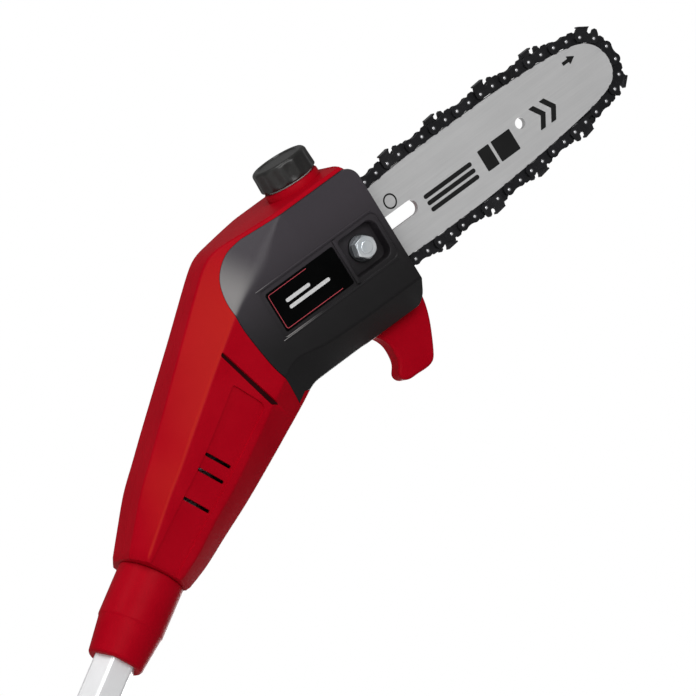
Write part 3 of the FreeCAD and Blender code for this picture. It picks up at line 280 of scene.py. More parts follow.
def bar_material():
    """satin steel, brushed along the bar"""
    m, nt, b = principled("bar_steel")
    b.inputs["Metallic"].default_value = 0.25
    fine = noise(nt, 900.0, 4.0, 0.65, ((1.0, 1.0, 0.03), (0, 0, 0)))
    fine.id_data  # brushed direction comes from the mapping below
    mp = [n for n in nt.nodes if n.bl_idname == "ShaderNodeMapping"][0]
    mp.vector_type = "TEXTURE"
    mp.inputs["Rotation"].default_value = (0.0, math.radians(30.0), 0.0)
    mp.inputs["Scale"].default_value = (1.0, 1.0, 28.0)
    big = noise(nt, 25.0, 3.0)
    f1 = ramp(nt, fine.outputs["Fac"], 0.3, 0.7, 0.0, 1.0)
    mx = mix(nt, f1.outputs["Result"], (0.51, 0.51, 0.512), (0.56, 0.56, 0.56))
    f2 = ramp(nt, big.outputs["Fac"], 0.3, 0.7, 0.0, 0.25)
    mx2 = mix(nt, f2.outputs["Result"], mx.outputs[2], (0.60, 0.60, 0.605))
    nt.links.new(mx2.outputs[2], b.inputs["Base Color"])
    rr = ramp(nt, fine.outputs["Fac"], 0.25, 0.75, 0.34, 0.52)
    nt.links.new(rr.outputs["Result"], b.inputs["Roughness"])
    bp = node(nt, "ShaderNodeBump")
    bp.inputs["Strength"].default_value = 0.05
    bp.inputs["Distance"].default_value = 0.0001
    nt.links.new(fine.outputs["Fac"], bp.inputs["Height"])
    nt.links.new(bp.outputs["Normal"], b.inputs["Normal"])
    return m


M["bar"] = bar_material()


def with_painted_highlight(base, name, towards, lo, hi, colour, strength=1.0):
    """copy of a plastic with a painted highlight: it pales where its surface faces a given way"""
    m = M[base].copy()
    m.name = name
    nt = m.node_tree
    b = [n for n in nt.nodes if n.bl_idname == "ShaderNodeBsdfPrincipled"][0]
    src = b.inputs["Base Color"].links[0].from_socket
    g = node(nt, "ShaderNodeNewGeometry")
    d = node(nt, "ShaderNodeVectorMath", operation="DOT_PRODUCT")
    d.inputs[1].default_value = Vector(towards).normalized()
    nt.links.new(g.outputs["Normal"], d.inputs[0])
    r = node(nt, "ShaderNodeMapRange", interpolation_type="SMOOTHSTEP")
    for k, v in (("From Min", lo), ("From Max", hi), ("To Min", 0.0), ("To Max", strength)):
        r.inputs[k].default_value = v
    nt.links.new(d.outputs["Value"], r.inputs["Value"])
    mx = mix(nt, r.outputs["Result"], src, colour)
    nt.links.new(mx.outputs[2], b.inputs["Base Color"])
    return m




def along(m, axis, origin, lo, hi):
    """0 to 1 along an axis of the object's frame, in millimetres from origin"""
    nt = m.node_tree
    tc = node(nt, "ShaderNodeTexCoord")
    d = node(nt, "ShaderNodeVectorMath", operation="DOT_PRODUCT")
    d.inputs[1].default_value = axis
    nt.links.new(tc.outputs["Object"], d.inputs[0])
    r = node(nt, "ShaderNodeMapRange", interpolation_type="SMOOTHSTEP")
    base = Vector(origin).dot(Vector(axis))
    r.inputs["From Min"].default_value = base + lo * MM
    r.inputs["From Max"].default_value = base + hi * MM
    nt.links.new(d.outputs["Value"], r.inputs["Value"])
    return r


def cover_material():
    """black moulding with a painted highlight on the corner that faces down the barrel, faded out higher up, and
    painted shade, darker towards its lower edge and lighter at its top
    """
    m = with_painted_highlight("black", "cover_plastic", (-0.72, -0.64, 0.25), 0.72, 1.0, (0.20, 0.192, 0.19), 1.0)
    nt = m.node_tree
    b = [n for n in nt.nodes if n.bl_idname == "ShaderNodeBsdfPrincipled"][0]
    painted_highlight_mix = b.inputs["Base Color"].links[0].from_node
    # painted highlight on the facet, faded out between about 218 and 247 mm up the head
    painted_highlight_fade = along(m, (0.12, 0, 0.9928), H(0, 0, 0), 247.0, 218.0)
    mul = node(nt, "ShaderNodeMath", operation="MULTIPLY")
    nt.links.new(painted_highlight_mix.inputs[0].links[0].from_socket, mul.inputs[0])
    nt.links.new(painted_highlight_fade.outputs["Result"], mul.inputs[1])
    nt.links.new(mul.outputs[0], painted_highlight_mix.inputs[0])
    old = painted_highlight_mix.inputs[6].links[0].from_socket
    # painted shade: the black is darkest at the cover's lower edge and lighter towards its top
    up = along(m, (-C30, 0, S30), H(0, 0, 0), 92.0, 158.0)
    shade = mix(nt, up.outputs["Result"], (0.0022, 0.0019, 0.0021), (0.044, 0.037, 0.045))
    half_ = node(nt, "ShaderNodeMix", data_type="RGBA")
    half_.inputs[0].default_value = 0.85
    nt.links.new(old, half_.inputs[6])
    nt.links.new(shade.outputs[2], half_.inputs[7])
    nt.links.new(half_.outputs[2], painted_highlight_mix.inputs[6])
    return m


M["cover"] = cover_material()
# painted highlight: the red turns warm orange on faces that point towards -x and -y, fading out between 214 and 262 mm
# up the head
M["body"] = with_painted_highlight("red", "body_red", (-0.60, -0.80, 0.05), 0.90, 1.0, (0.41, 0.013, 0.010))
_nt = M["body"].node_tree
_mx = [n for n in _nt.nodes if n.bl_idname == "ShaderNodeBsdfPrincipled"][0].inputs["Base Color"].links[0].from_node
_highlight_fade = along(M["body"], (0, 0, 1), H(0, 0, 0), 262.0, 214.0)
_mul = node(_nt, "ShaderNodeMath", operation="MULTIPLY")
_nt.links.new(_mx.inputs[0].links[0].from_socket, _mul.inputs[0])
_nt.links.new(_highlight_fade.outputs["Result"], _mul.inputs[1])
_nt.links.new(_mul.outputs[0], _mx.inputs[0])

CAD_LOOK = {
    "housing_right": "red", "housing_left": "red", "head_collar": "red", "branch_hook": "red", "sprocket_cover": "black", "oil_cap": "cap",
    "cover_label_plate": "gloss", "clamp_collar": "black", "clamp_lever": "red", "clamp_pin": "steel", "inner_tube": "alu", "outer_tube": "alu",
    "inner_tube_bush": "nylon", "front_grip": "foam", "strap_bracket": "black", "strap_screw": "zinc", "strap_ring": "zinc", "guide_bar": "bar",
    "chain_drive_links": "chain", "chain_tie_straps": "chain", "chain_cutters": "cutter", "chain_rivets": "rivet", "drive_sprocket": "steel",
    "sprocket_shaft": "steel", "shaft_bearings": "steel", "pump_worm": "nylon", "bevel_gear": "steel", "motor_pinion": "steel", "motor_shaft": "steel",
    "motor_can": "steel", "motor_rotor": "copper", "motor_fan": "nylon", "gear_case": "cast", "bar_stud": "zinc", "bar_nut": "zinc", "bar_washer": "washer",
    "tension_screw": "zinc", "tension_pin": "steel", "oil_tank": "nylon", "oil_cap_seal": "rubber", "oil_pump": "nylon", "head_screws": "steel",
    "handle_left": "red", "handle_right": "red", "handle_screws": "steel", "trigger": "black", "trigger_pin": "steel", "trigger_spring": "steel",
    "lock_off_button": "black", "switch_body": "black", "control_board": "board", "battery_terminals": "black", "battery_pack": "black", "battery_latch": "red",
}


def paint(ob, mat):
    ob.data.materials.clear()
    ob.data.materials.append(mat)
    for p in ob.data.polygons:
        p.material_index = 0


for n, look in CAD_LOOK.items():
    if n in nodes:
        paint(nodes[n], M[look])


# ------------------------------------------------------------------ mesh helpers
def piece(ob, body, slot, *stands_for):
    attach(ob, body)
    if stands_for:
        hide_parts(*stands_for)


def new_object(name, bm, mat, angle=32.0):
    me = bpy.data.meshes.new(name)
    bmesh.ops.remove_doubles(bm, verts=bm.verts, dist=1e-6)
    bmesh.ops.recalc_face_normals(bm, faces=bm.faces)
    bm.to_mesh(me)
    bm.free()
    ob = bpy.data.objects.new(name, me)
    scene.collection.objects.link(ob)
    finish_mesh(ob, mat, angle)
    return ob


def finish_mesh(ob, mat, angle=32.0):
    me = ob.data
    me.polygons.foreach_set("use_smooth", [True] * len(me.polygons))
    me.set_sharp_from_angle(angle=math.radians(angle))
    me.materials.clear()
    me.materials.append(mat)
    me.polygons.foreach_set("material_index", [0] * len(me.polygons))
    me.update()


def boolean(ob, tools, op="DIFFERENCE"):
    """applies exact booleans and returns the object with its new mesh"""
    for t in tools:
        md = ob.modifiers.new("cut", "BOOLEAN")
        md.operation = op
        md.solver = "EXACT"
        md.object = t
    bpy.context.view_layer.update()
    dg = bpy.context.evaluated_depsgraph_get()
    me = bpy.data.meshes.new_from_object(ob.evaluated_get(dg))
    ob.modifiers.clear()
    old = ob.data
    ob.data = me
    bpy.data.meshes.remove(old)
    for t in tools:
        drop(t)
    return ob


def drop(ob):
    me = ob.data
    bpy.data.objects.remove(ob)
    if me.users == 0:
        bpy.data.meshes.remove(me)


def copy_of(ob, name):
    c = ob.copy()
    c.data = ob.data.copy()
    c.name = name
    scene.collection.objects.link(c)
    return c


def arc_corners(pts, radii, n=5):
    """closed 2-D outline with rounded corners, as a list of points"""
    out = []
    m = len(pts)
    for i in range(m):
        a, b, c = Vector(pts[i - 1]), Vector(pts[i]), Vector(pts[(i + 1) % m])
        r = radii[i] if isinstance(radii, (list, tuple)) else radii
        d1, d2 = (a - b), (c - b)
        l1, l2 = d1.length, d2.length
        if r <= 0 or l1 < 1e-9 or l2 < 1e-9:
            out.append(tuple(b))
            continue
        d1, d2 = d1 / l1, d2 / l2
        cosv = max(-1.0, min(1.0, d1.dot(d2)))
        ang = math.acos(cosv)
        if ang > math.pi - 0.02:
            out.append(tuple(b))
            continue
        t = min(r / math.tan(ang / 2), 0.48 * l1, 0.48 * l2)
        r = t * math.tan(ang / 2)
        bis = (d1 + d2).normalized()
        cen = b + bis * (r / math.sin(ang / 2))
        p0, p1 = b + d1 * t - cen, b + d2 * t - cen
        a0 = math.atan2(p0.y, p0.x)
        da = math.atan2(p1.y, p1.x) - a0
        while da > math.pi:
            da -= 2 * math.pi
        while da < -math.pi:
            da += 2 * math.pi
        for k in range(n + 1):
            a_ = a0 + da * k / n
            out.append((cen.x + r * math.cos(a_), cen.y + r * math.sin(a_)))
    return out


def inset2(pts, t):
    m = len(pts)
    area_ = sum(pts[i][0] * pts[(i + 1) % m][1] - pts[(i + 1) % m][0] * pts[i][1] for i in range(m))
    s = 1.0 if area_ > 0 else -1.0
    out = []
    for i in range(m):
        a, b, c = Vector(pts[i - 1]), Vector(pts[i]), Vector(pts[(i + 1) % m])
        d1, d2 = (b - a), (c - b)
        if d1.length < 1e-9 or d2.length < 1e-9:
            out.append(tuple(b))
            continue
        n1 = Vector((-d1.y, d1.x)).normalized() * s
        n2 = Vector((-d2.y, d2.x)).normalized() * s
        bis = n1 + n2
        k = bis.dot(n1)
        out.append(tuple(b + bis * (t / max(k, 0.3))))
    return out


def stack(name, outlines, place, mat, angle=32.0):
    """closed body through a list of (outline, height); place turns (x, y, height) into a point"""
    bm = bmesh.new()
    rings = []
    for pts, h in outlines:
        rings.append([bm.verts.new(place(p[0], p[1], h)) for p in pts])
    n = len(rings[0])
    for a, b in zip(rings, rings[1:]):
        for i in range(n):
            bm.faces.new((a[i], a[(i + 1) % n], b[(i + 1) % n], b[i]))
    bm.faces.new(rings[0])
    bm.faces.new(rings[-1])
    return new_object(name, bm, mat, angle)


def lathe(name, profile, place, mat, n=96, angle=32.0, wobble=None):
    """closed body of revolution: profile is (radius, height); place turns (x, y, height) into a point"""
    bm = bmesh.new()
    rings = []
    for r, h in profile:
        if r < 1e-6:
            rings.append([bm.verts.new(place(0, 0, h))])
            continue
        ring = []
        for k in range(n):
            a = 2 * math.pi * k / n
            rr = r + (wobble(a, h) if wobble else 0.0)
            ring.append(bm.verts.new(place(rr * math.cos(a), rr * math.sin(a), h)))
        rings.append(ring)
    for a, b in zip(rings, rings[1:]):
        if len(a) == 1 and len(b) == 1:
            continue
        for i in range(n):
            j = (i + 1) % n
            if len(a) == 1:
                bm.faces.new((a[0], b[i], b[j]))
            elif len(b) == 1:
                bm.faces.new((a[i], a[j], b[0]))
            else:
                bm.faces.new((a[i], a[j], b[j], b[i]))
    if len(rings[0]) > 1:
        bm.faces.new(rings[0])
    if len(rings[-1]) > 1:
        bm.faces.new(rings[-1])
    return new_object(name, bm, mat, angle)


def in_bar(u, v, w):
    return P(u, v, w)


# ------------------------------------------------------------------ head housing, as a skin through cross-sections
# each: outer point (x, z), inner point (x, z), half width of the outer face, depth of the outer facet, half thickness,
# depth of the inner facet, half width of the inner face, corner radius of the outer facet's corners
def uvxz(u, v):
    return (S30 * u - C30 * v, C30 * u + S30 * v)


TOP, LOW, FRONT = 166.8, 67.5, 291.0
STATIONS = [
    ((-22.4, 57.0), (20.2, 57.0), 11.0, 6.8, 23.8, 11.5, 11.6, 3.0),
    ((-26.9, 75.0), (25.0, 75.0), 11.8, 9.2, 25.7, 13.6, 12.0, 3.0),
    ((-32.2, 97.0), (28.2, 97.0), 12.4, 11.9, 28.1, 16.0, 13.2, 3.0),
    ((-34.9, 117.0), (31.0, 117.0), 12.4, 12.8, 30.4, 17.3, 15.2, 3.2),
    ((-37.1, 133.0), (32.7, 133.0), 12.3, 13.0, 31.9, 18.4, 16.8, 3.4),
    ((-39.7, 152.0), (34.7, 152.0), 11.8, 14.3, 32.0, 19.7, 17.8, 3.5),
    ((-42.3, 171.0), (36.8, 171.0), 11.2, 15.6, 32.0, 21.2, 18.0, 3.6),
    ((-44.9, 190.0), (38.9, 190.0), 10.6, 17.2, 32.0, 22.7, 18.0, 3.6),
    ((-47.2, 206.0), (39.7, 200.5), 10.3, 18.7, 32.0, 23.4, 18.0, 4.6),
    ((-49.3, 221.0), (40.6, 205.0), 10.2, 20.2, 32.0, 22.6, 17.8, 6.5),
    ((-50.7, 233.0), (41.9, 208.2), 10.4, 22.0, 32.0, 21.2, 17.4, 10.0),
    ((-50.7, 241.5), (43.4, 210.8), 11.4, 22.6, 32.0, 20.0, 17.0, 14.0),
    ((-48.6, 248.8), (45.2, 213.9), 13.4, 21.0, 32.0, 19.0, 16.6, 16.0),
    ((-44.9, 255.8), (47.6, 218.0), 16.8, 17.6, 32.0, 18.0, 16.2, 18.0),
    (uvxz(208.0, TOP), (50.6, 223.2), 21.2, 12.8, 32.0, 17.3, 15.9, 16.0),
    (uvxz(219.0, TOP), (54.6, 230.1), 26.4, 7.2, 32.0, 16.8, 15.6, 9.0),
    (uvxz(230.0, TOP), (60.0, 239.5), 30.4, 1.9, 32.0, 16.5, 15.5, 3.0),
    (uvxz(244.0, TOP), uvxz(244.0, LOW), 30.6, 1.5, 32.0, 16.5, 15.5, 1.2),
    (uvxz(262.0, TOP), uvxz(262.0, LOW), 30.6, 1.5, 32.0, 16.5, 15.5, 1.2),
    (uvxz(280.0, TOP), uvxz(280.0, LOW), 30.6, 1.5, 32.0, 16.5, 15.5, 1.2),
    (uvxz(FRONT, TOP), uvxz(FRONT, LOW), 30.6, 1.5, 32.0, 16.5, 15.5, 1.2),
]


def catmull(a, b, c, d, t):
    return 0.5 * ((2 * b) + (c - a) * t + (2 * a - 5 * b + 4 * c - d) * t * t + (3 * b - a - 3 * c + d) * t ** 3)


def stations(step):
    flat = [[s[0][0], s[0][1], s[1][0], s[1][1], *s[2:]] for s in STATIONS]
    out = []
    for i in range(len(flat) - 1):
        p0 = flat[max(0, i - 1)]
        p1, p2 = flat[i], flat[i + 1]
        p3 = flat[min(len(flat) - 1, i + 2)]
        gap = math.hypot(p2[0] - p1[0], p2[1] - p1[1])
        k = max(1, int(round(gap / step)))
        for j in range(k):
            out.append([catmull(p0[q], p1[q], p2[q], p3[q], j / k) for q in range(len(p1))])
    out.append(flat[-1])
    return out


def ring_of(s, t, shrink=0.0, n=5):
    """points of one cross-section, inset by t, in head millimetres"""
    xo, zo, xi, zi, yl, a, d, b, yr, rad = s
    L = math.hypot(xi - xo, zi - zo)
    ex, ez = (xi - xo) / L, (zi - zo) / L
    k = t + shrink
    yl, d, yr = yl - k * 0.45, d - k, yr - k * 0.45
    s0, s1 = k, L - k
    half = [(s0, yl), (s0 + a - k * 0.3, d), (s1 - b + k * 0.3, d), (s1, yr)]
    pts = half + [(p[0], -p[1]) for p in reversed(half)]
    rr = max(0.6, rad - k * 0.5)
    r4 = [min(rr, 4.0), rr, 3.4, 3.6]
    rad8 = r4 + list(reversed(r4))
    out = arc_corners(pts, rad8, n)
    return [H(xo + ex * q[0], q[1], zo + ez * q[0]) for q in out]


def housing_skin(name, t=0.0, step=4.0):
    """t > 0 gives the cavity"""
    bm = bmesh.new()
    rows = stations(step)
    rings = []
    if t == 0.0:
        first = list(rows[0])
        rings.append(ring_of(first, 0.0, 1.6))
        first = list(rows[0])
        first[1] += 0.5
        first[3] += 0.5
        rings.append(ring_of(first, 0.0, 0.5))
        first[1] += 1.1
        first[3] += 1.1
        rings.append(ring_of(first, 0.0))
        body = rows[1:-1]
    else:
        first = list(rows[0])
        first[1] += t
        first[3] += t
        rings.append(ring_of(first, t))
        body = rows[1:-1]
    for s in body:
        rings.append(ring_of(s, t))
    last = list(rows[-1])
    if t == 0.0:
        for back, sh in ((1.5, 0.0), (0.5, 0.4), (0.0, 1.4)):
            q = list(last)
            q[0] -= back * S30
            q[1] -= back * C30
            q[2] -= back * S30
            q[3] -= back * C30
            rings.append(ring_of(q, 0.0, sh))
    else:
        q = list(last)
        q[0] -= t * S30
        q[1] -= t * C30
        q[2] -= t * S30
        q[3] -= t * C30
        rings.append(ring_of(q, t))
    vs = [[bm.verts.new(p) for p in r] for r in rings]
    n = len(vs[0])
    for a, b in zip(vs, vs[1:]):
        for i in range(n):
            bm.faces.new((a[i], a[(i + 1) % n], b[(i + 1) % n], b[i]))
    bm.faces.new(vs[0])
    bm.faces.new(vs[-1])
    return new_object(name, bm, M["red"], 40.0)


COVER = [(287.2, 164.4), (287.2, 66.0), (194.5, 66.0), (188.6, 68.0)]
COVER_R = [9.5, 9.5, 0.0, 0.0]
COVER_LEFT = [(181.6, 64.0), (178.4, 78.2), (174.0, 92.3), (171.1, 110.6), (169.9, 125.1), (171.5, 136.6), (176.9, 148.2), (183.9, 156.2),
              (193.4, 162.0), (204.2, 164.4)]


def cover_outline(t):
    """outline of the sprocket cover in (u, v), inset by t"""
    out = []
    seg = COVER_LEFT
    for i in range(len(seg) - 1):
        p0 = seg[max(0, i - 1)]
        p1, p2 = seg[i], seg[i + 1]
        p3 = seg[min(len(seg) - 1, i + 2)]
        for j in range(5):
            f = j / 5
            out.append((catmull(p0[0], p1[0], p2[0], p3[0], f), catmull(p0[1], p1[1], p2[1], p3[1], f)))
    out.append(seg[-1])
    return inset2(arc_corners(COVER + out, COVER_R + [0.0] * len(out), 8), t)


def cover_prism(name, t, w0, w1, flare=None):
    o = cover_outline(t)
    rows = [(o, w0), (o, w1)]
    if flare:
        rows = [(o, w0), (o, w1 - flare), (cover_outline(t - flare), w1)]
    return stack(name, rows, in_bar, M["red"])


def box_tool(name, lo, hi, place):
    pts = [(lo[0], lo[1]), (hi[0], lo[1]), (hi[0], hi[1]), (lo[0], hi[1])]
    return stack(name, [(pts, lo[2]), (pts, hi[2])], place, M["red"])


def side_place(x, z, y):
    return H(x, y, z)


skin = housing_skin("skin")
cavity = housing_skin("cavity", 2.4, 6.0)

# the cover's outside is the same skin as the housing's
cover_outer = copy_of(skin, "cover_outer")
cover_cavity = copy_of(cavity, "cover_cavity")

# ---- housing: hollow, cut for the bay, then split at the middle plane
shell = boolean(skin, [cavity])
boss_hole_r = 15.3
CAP_U = 261.6


def cap_place(x, y, h):
    """round things on the oil cap's axis: x along u, y along w, h along v"""
    return P(CAP_U + x, h, y)


hole = lathe("hole", [(15.3, 150), (15.3, 180)], cap_place, M["red"], 64)
spigot = lathe("spigot", [(17.2, 40), (17.2, 62)], lambda x, y, h: H(x, y, h), M["red"], 64)
shell = boolean(shell, [hole, spigot])
left = copy_of(shell, "head_housing_left")
right = shell
right.name = "head_housing_right"

VENTS = [(130.6, -11.4, 6.9), (120.6, -11.4, 6.9), (101.3, -12.0, 6.8)]


def vent(name, z, x0, x1, y0, y1):
    pts = arc_corners([(x0, z - 1.15), (x1, z - 1.15), (x1, z + 1.15), (x0, z + 1.15)], 0.9, 3)
    return stack(name, [(pts, y0), (pts, y1)], side_place, M["red"])


slab_l = box_tool("slab", (-200, 0, -80.0), (200, 400, 0.06), side_place)
slab_r = box_tool("slab", (-200, 0, -0.06), (200, 400, 80.0), side_place)
left = boolean(left, [slab_l] + [vent("v", z, x0, x1, 20, 40) for z, x0, x1 in VENTS])
bay = cover_prism("bay", -0.22, 12.75, 50.0)
BAY_IN = [(284.8, 155.5), (281.5, 160.5), (277.0, 162.0), (204.5, 162.0), (194.2, 159.7), (185.4, 154.1), (178.9, 146.9), (173.9, 136.1), (172.3, 125.1),
          (173.5, 111.0), (176.3, 93.0), (180.7, 79.0), (183.5, 71.0), (188.0, 71.0), (194.8, 70.2), (277.0, 70.2), (282.0, 72.5), (284.8, 77.0)]
bay_low = stack("bay_low", [(BAY_IN, 8.0), (BAY_IN, 14.0)], in_bar, M["red"])
front = box_tool("front", (270, 80, 8.0), (300, 159, 40), in_bar)
right = boolean(right, [slab_r, bay, bay_low, front] + [vent("v", z, x0, x1, -40, -20) for z, x0, x1 in VENTS])

# the near half's front corners are rounded like the cover's


def corner(name, cu, cv, r, a0, a1, far, w0, w1):
    arc = [(cu + r * math.cos(math.radians(a0 + (a1 - a0) * k / 10)), cv + r * math.sin(math.radians(a0 + (a1 - a0) * k / 10))) for k in range(11)]
    return stack(name, [(arc + far, w0), (arc + far, w1)], in_bar, M["red"])




def plug(name, cu, cv, r, a0, a1, w0, w1):
    ring = [(cu + q * math.cos(math.radians(t)), cv + q * math.sin(math.radians(t)))
            for q, ts in ((r, [a0 + (a1 - a0) * k / 8 for k in range(9)]), (r - 3.4, [a1 + (a0 - a1) * k / 8 for k in range(9)])) for t in ts]
    return stack(name, [(ring, w0), (ring, w1)], in_bar, M["red"])


TOP_C, LOW_C = (279.4, 155.2, 11.6), (279.4, 79.1, 11.6)
right = boolean(right, [corner("c1", *TOP_C, 0, 90, [(279.4, 180.0), (304.0, 180.0), (304.0, 155.2)], -2.0, 45.0),
                        corner("c2", *LOW_C, -90, 0, [(304.0, 79.1), (304.0, 50.0), (279.4, 50.0)], -2.0, 45.0)])
right = boolean(right, [corner("c5", 277.6, 154.8, 9.4, 0, 86, [(279.2, 165.4), (280.4, 176.0), (304.0, 176.0), (304.0, 154.8)], 12.0, 45.0),
                        corner("c6", 277.4, 75.8, 9.3, -90, 0, [(304.0, 75.8), (304.0, 50.0), (277.4, 50.0)], 12.6, 45.0),
                        box_tool("lip", (286.9, 60.0, 12.6), (304.0, 176.0, 45.0), in_bar)])
left = boolean(left, [corner("c3", *TOP_C, 0, 90, [(279.4, 180.0), (304.0, 180.0), (304.0, 155.2)], -45.0, 2.0),
                      corner("c4", *LOW_C, -90, 0, [(304.0, 79.1), (304.0, 50.0), (279.4, 50.0)], -45.0, 2.0)])
right = boolean(right, [plug("g1", *TOP_C, 4, 86, 0.06, 12.6), plug("g2", *LOW_C, -86, -4, 0.06, 12.6)], "UNION")
left = boolean(left, [plug("g3", *TOP_C, 4, 86, -29.0, -0.06), plug("g4", *LOW_C, -86, -4, -29.0, -0.06)], "UNION")

# raised neck that carries the oil cap, one half on each housing
neck_l = lathe("neck_l", [(15.3, 162), (17.8, 162), (17.8, 170.6), (17.2, 171.5), (15.3, 171.5), (15.3, 162)], cap_place, M["red"], 96)
neck_r = copy_of(neck_l, "neck_r")
neck_l = boolean(neck_l, [box_tool("slab", (-200, 0, -80.0), (200, 400, 0.06), side_place)])
neck_r = boolean(neck_r, [box_tool("slab", (-200, 0, -0.06), (200, 400, 80.0), side_place)])

# sunk seats of the screws that hold the halves together, in the left half's own surface
SCREWS = [(-28.0, 150.0), (16.4, 151.7), (-33.0, 225.0), (8.0, 78.0), (-8.0, 78.0), (S30 * 276.0 - C30 * 76.0, C30 * 276.0 + S30 * 76.0)]


def surface_y(ob, x, z):
    """how far out the left half's surface is at (x, z), in millimetres"""
    hit = [(ob.matrix_world @ v.co) for v in ob.data.vertices]
    tree = BVHTree.FromPolygons(hit, [tuple(q.vertices) for q in ob.data.polygons])
    loc = tree.ray_cast(H(x, 90.0, z), Vector((0, -1, 0)))[0]
    return loc.y / MM


seats, seat_holes, heads = [], [], []
for k, (x, z) in enumerate(SCREWS):
    y1 = min(surface_y(left, x + dx, z + dz) for dx in (-3.0, 0, 3.0) for dz in (-3.0, 0, 3.0)) - 0.5
    at = lambda a, c, h, x=x, z=z: H(x + a, h, z + c)
    seats.append(lathe(f"seat_{k}", [(0, y1 - 6.5), (4.9, y1 - 6.5), (4.9, y1 - 1.2), (0, y1 - 1.2)], at, M["red"], 32))
    seat_holes.append(lathe("seat_hole", [(0, y1 - 2.5), (3.5, y1 - 2.5), (3.5, y1 + 12.0), (0, y1 + 12.0)], at, M["red"], 32))
    head_ = lathe(f"screw_{k}", [(0, y1 - 8.0), (1.5, y1 - 8.0), (1.5, y1 - 2.4), (3.2, y1 - 2.4), (3.2, y1 - 1.0), (2.7, y1 - 0.45), (1.6, y1 - 0.15), (0, y1 - 0.1)],
                  at, M["steel"], 32)
    arms = [box_tool("arm", (x - 1.9, z - 0.34, y1 - 1.3), (x + 1.9, z + 0.34, y1 + 1.0), side_place),
            box_tool("arm", (x - 0.34, z - 1.9, y1 - 1.3), (x + 0.34, z + 1.9, y1 + 1.0), side_place)]
    heads.append(boolean(boolean(head_, [arms[0]]), [arms[1]]))
screws = heads[0]
screws = boolean(screws, heads[1:], "UNION")
screws.name = "head_screws_seated"
finish_mesh(screws, M["steel"], 30.0)

# shallow panel and curved groove pressed into the right side, following its slope
PANEL = arc_corners([(-12.8, 175.6), (-11.7, 129.0), (-13.6, 58.0), (5.4, 58.0), (7.9, 101.0), (9.2, 129.0), (11.8, 170.0), (5.5, 174.4)],
                    [1.0, 30, 0, 0, 0, 20, 5, 6], 5)


def face_depth(z):
    """half thickness of the flat side at height z"""
    if z < 133.0:
        return 23.0 + (z - 50.0) * 9.0 / 83.0
    return 32.0


def slope_cut(name, rows, depth, rise=0.35):
    """recess in the side face whose floor keeps a set depth below the sloping side; rows: (z, x0, x1)"""
    bm = bmesh.new()
    rings = []
    for z, x0, x1 in rows:
        d = face_depth(z)
        rings.append([bm.verts.new(H(x, -y, z)) for x, y in ((x0 + rise, d - depth), (x1 - rise, d - depth), (x1, d + 0.02), (x1, d + 5.0), (x0, d + 5.0), (x0, d + 0.02))])
    for a, b in zip(rings, rings[1:]):
        for i in range(6):
            bm.faces.new((a[i], a[(i + 1) % 6], b[(i + 1) % 6], b[i]))
    bm.faces.new(rings[0])
    bm.faces.new(rings[-1])
    return new_object(name, bm, M["red"])


PANEL_ROWS = [(58.0, -13.2, 5.5), (70.0, -12.9, 5.9), (85.0, -12.6, 6.8), (101.0, -12.3, 7.9), (115.0, -12.0, 8.5), (129.0, -11.8, 9.1), (133.0, -11.8, 9.4),
              (150.0, -12.1, 10.3), (165.0, -12.5, 11.2), (170.5, -12.6, 11.5), (172.6, -12.6, 11.0), (173.8, -12.6, 9.9), (174.4, -12.6, 8.4),
              (174.8, -12.6, 5.6), (175.1, -12.4, -3.0), (175.4, -12.0, -9.0)]


GROOVE = arc_corners([(-27.4, 189.9), (-27.0, 187.0), (14.6, 176.2), (20.2, 178.9)], [0.8, 0.8, 3, 0.6], 4)
groove = stack("groove", [(inset2(GROOVE, 0.35), -30.3), (GROOVE, -31.6), (GROOVE, -34.0)], side_place, M["red"])
right = boolean(right, [slope_cut("panel", PANEL_ROWS, 1.15), groove])
# near-black strip laid in the groove: painted shadow
gi = inset2(GROOVE, 0.40)
groove_shadow_strip = stack("painted_groove_shadow_strip", [(gi, -30.1), (gi, -30.9), (inset2(gi, 0.12), -31.0)], side_place, M["shadow"])
right = boolean(right, [neck_r], "UNION")
left = boolean(boolean(left, [neck_l] + seats, "UNION"), seat_holes)
finish_mesh(left, M["body"], 34.0)
finish_mesh(right, M["body"], 34.0)

# ---- sprocket cover: the same skin inside the cover's outline, hollow behind
out_lo = cover_outline(0.0)
cut_o = stack("cut_o", [(out_lo, 13.0), (out_lo, 31.3), (cover_outline(0.7), 32.2), (cover_outline(0.7), 40.0)], in_bar, M["black"])
cover = boolean(cover_outer, [cut_o], "INTERSECT")
tub = arc_corners([(250.2, 103.2), (282.8, 103.2), (282.8, 133.0), (250.2, 133.0)], [4, 7, 7, 4], 5)
inner_o = stack("inner_o", [(BAY_IN, 10.0), (BAY_IN, 28.2)], in_bar, M["black"])
tub_o = stack("tub_o", [(tub, 20.0), (tub, 34.0)], in_bar, M["black"])
hollow = boolean(cover_cavity, [inner_o], "INTERSECT")
hollow = boolean(hollow, [tub_o])
cover = boolean(cover, [hollow])
band = arc_corners([(190.0, 102.3), (283.2, 102.3), (283.2, 133.9), (190.0, 133.9)], [3.0, 4.5, 4.5, 3.0], 5)
pocket = arc_corners([(252.4, 105.4), (280.6, 105.4), (280.6, 130.8), (252.4, 130.8)], [2.0, 6.0, 6.0, 2.0], 6)
seat = arc_corners([(193.8, 104.4), (248.4, 104.4), (248.4, 130.8), (193.8, 130.8)], 1.6, 4)
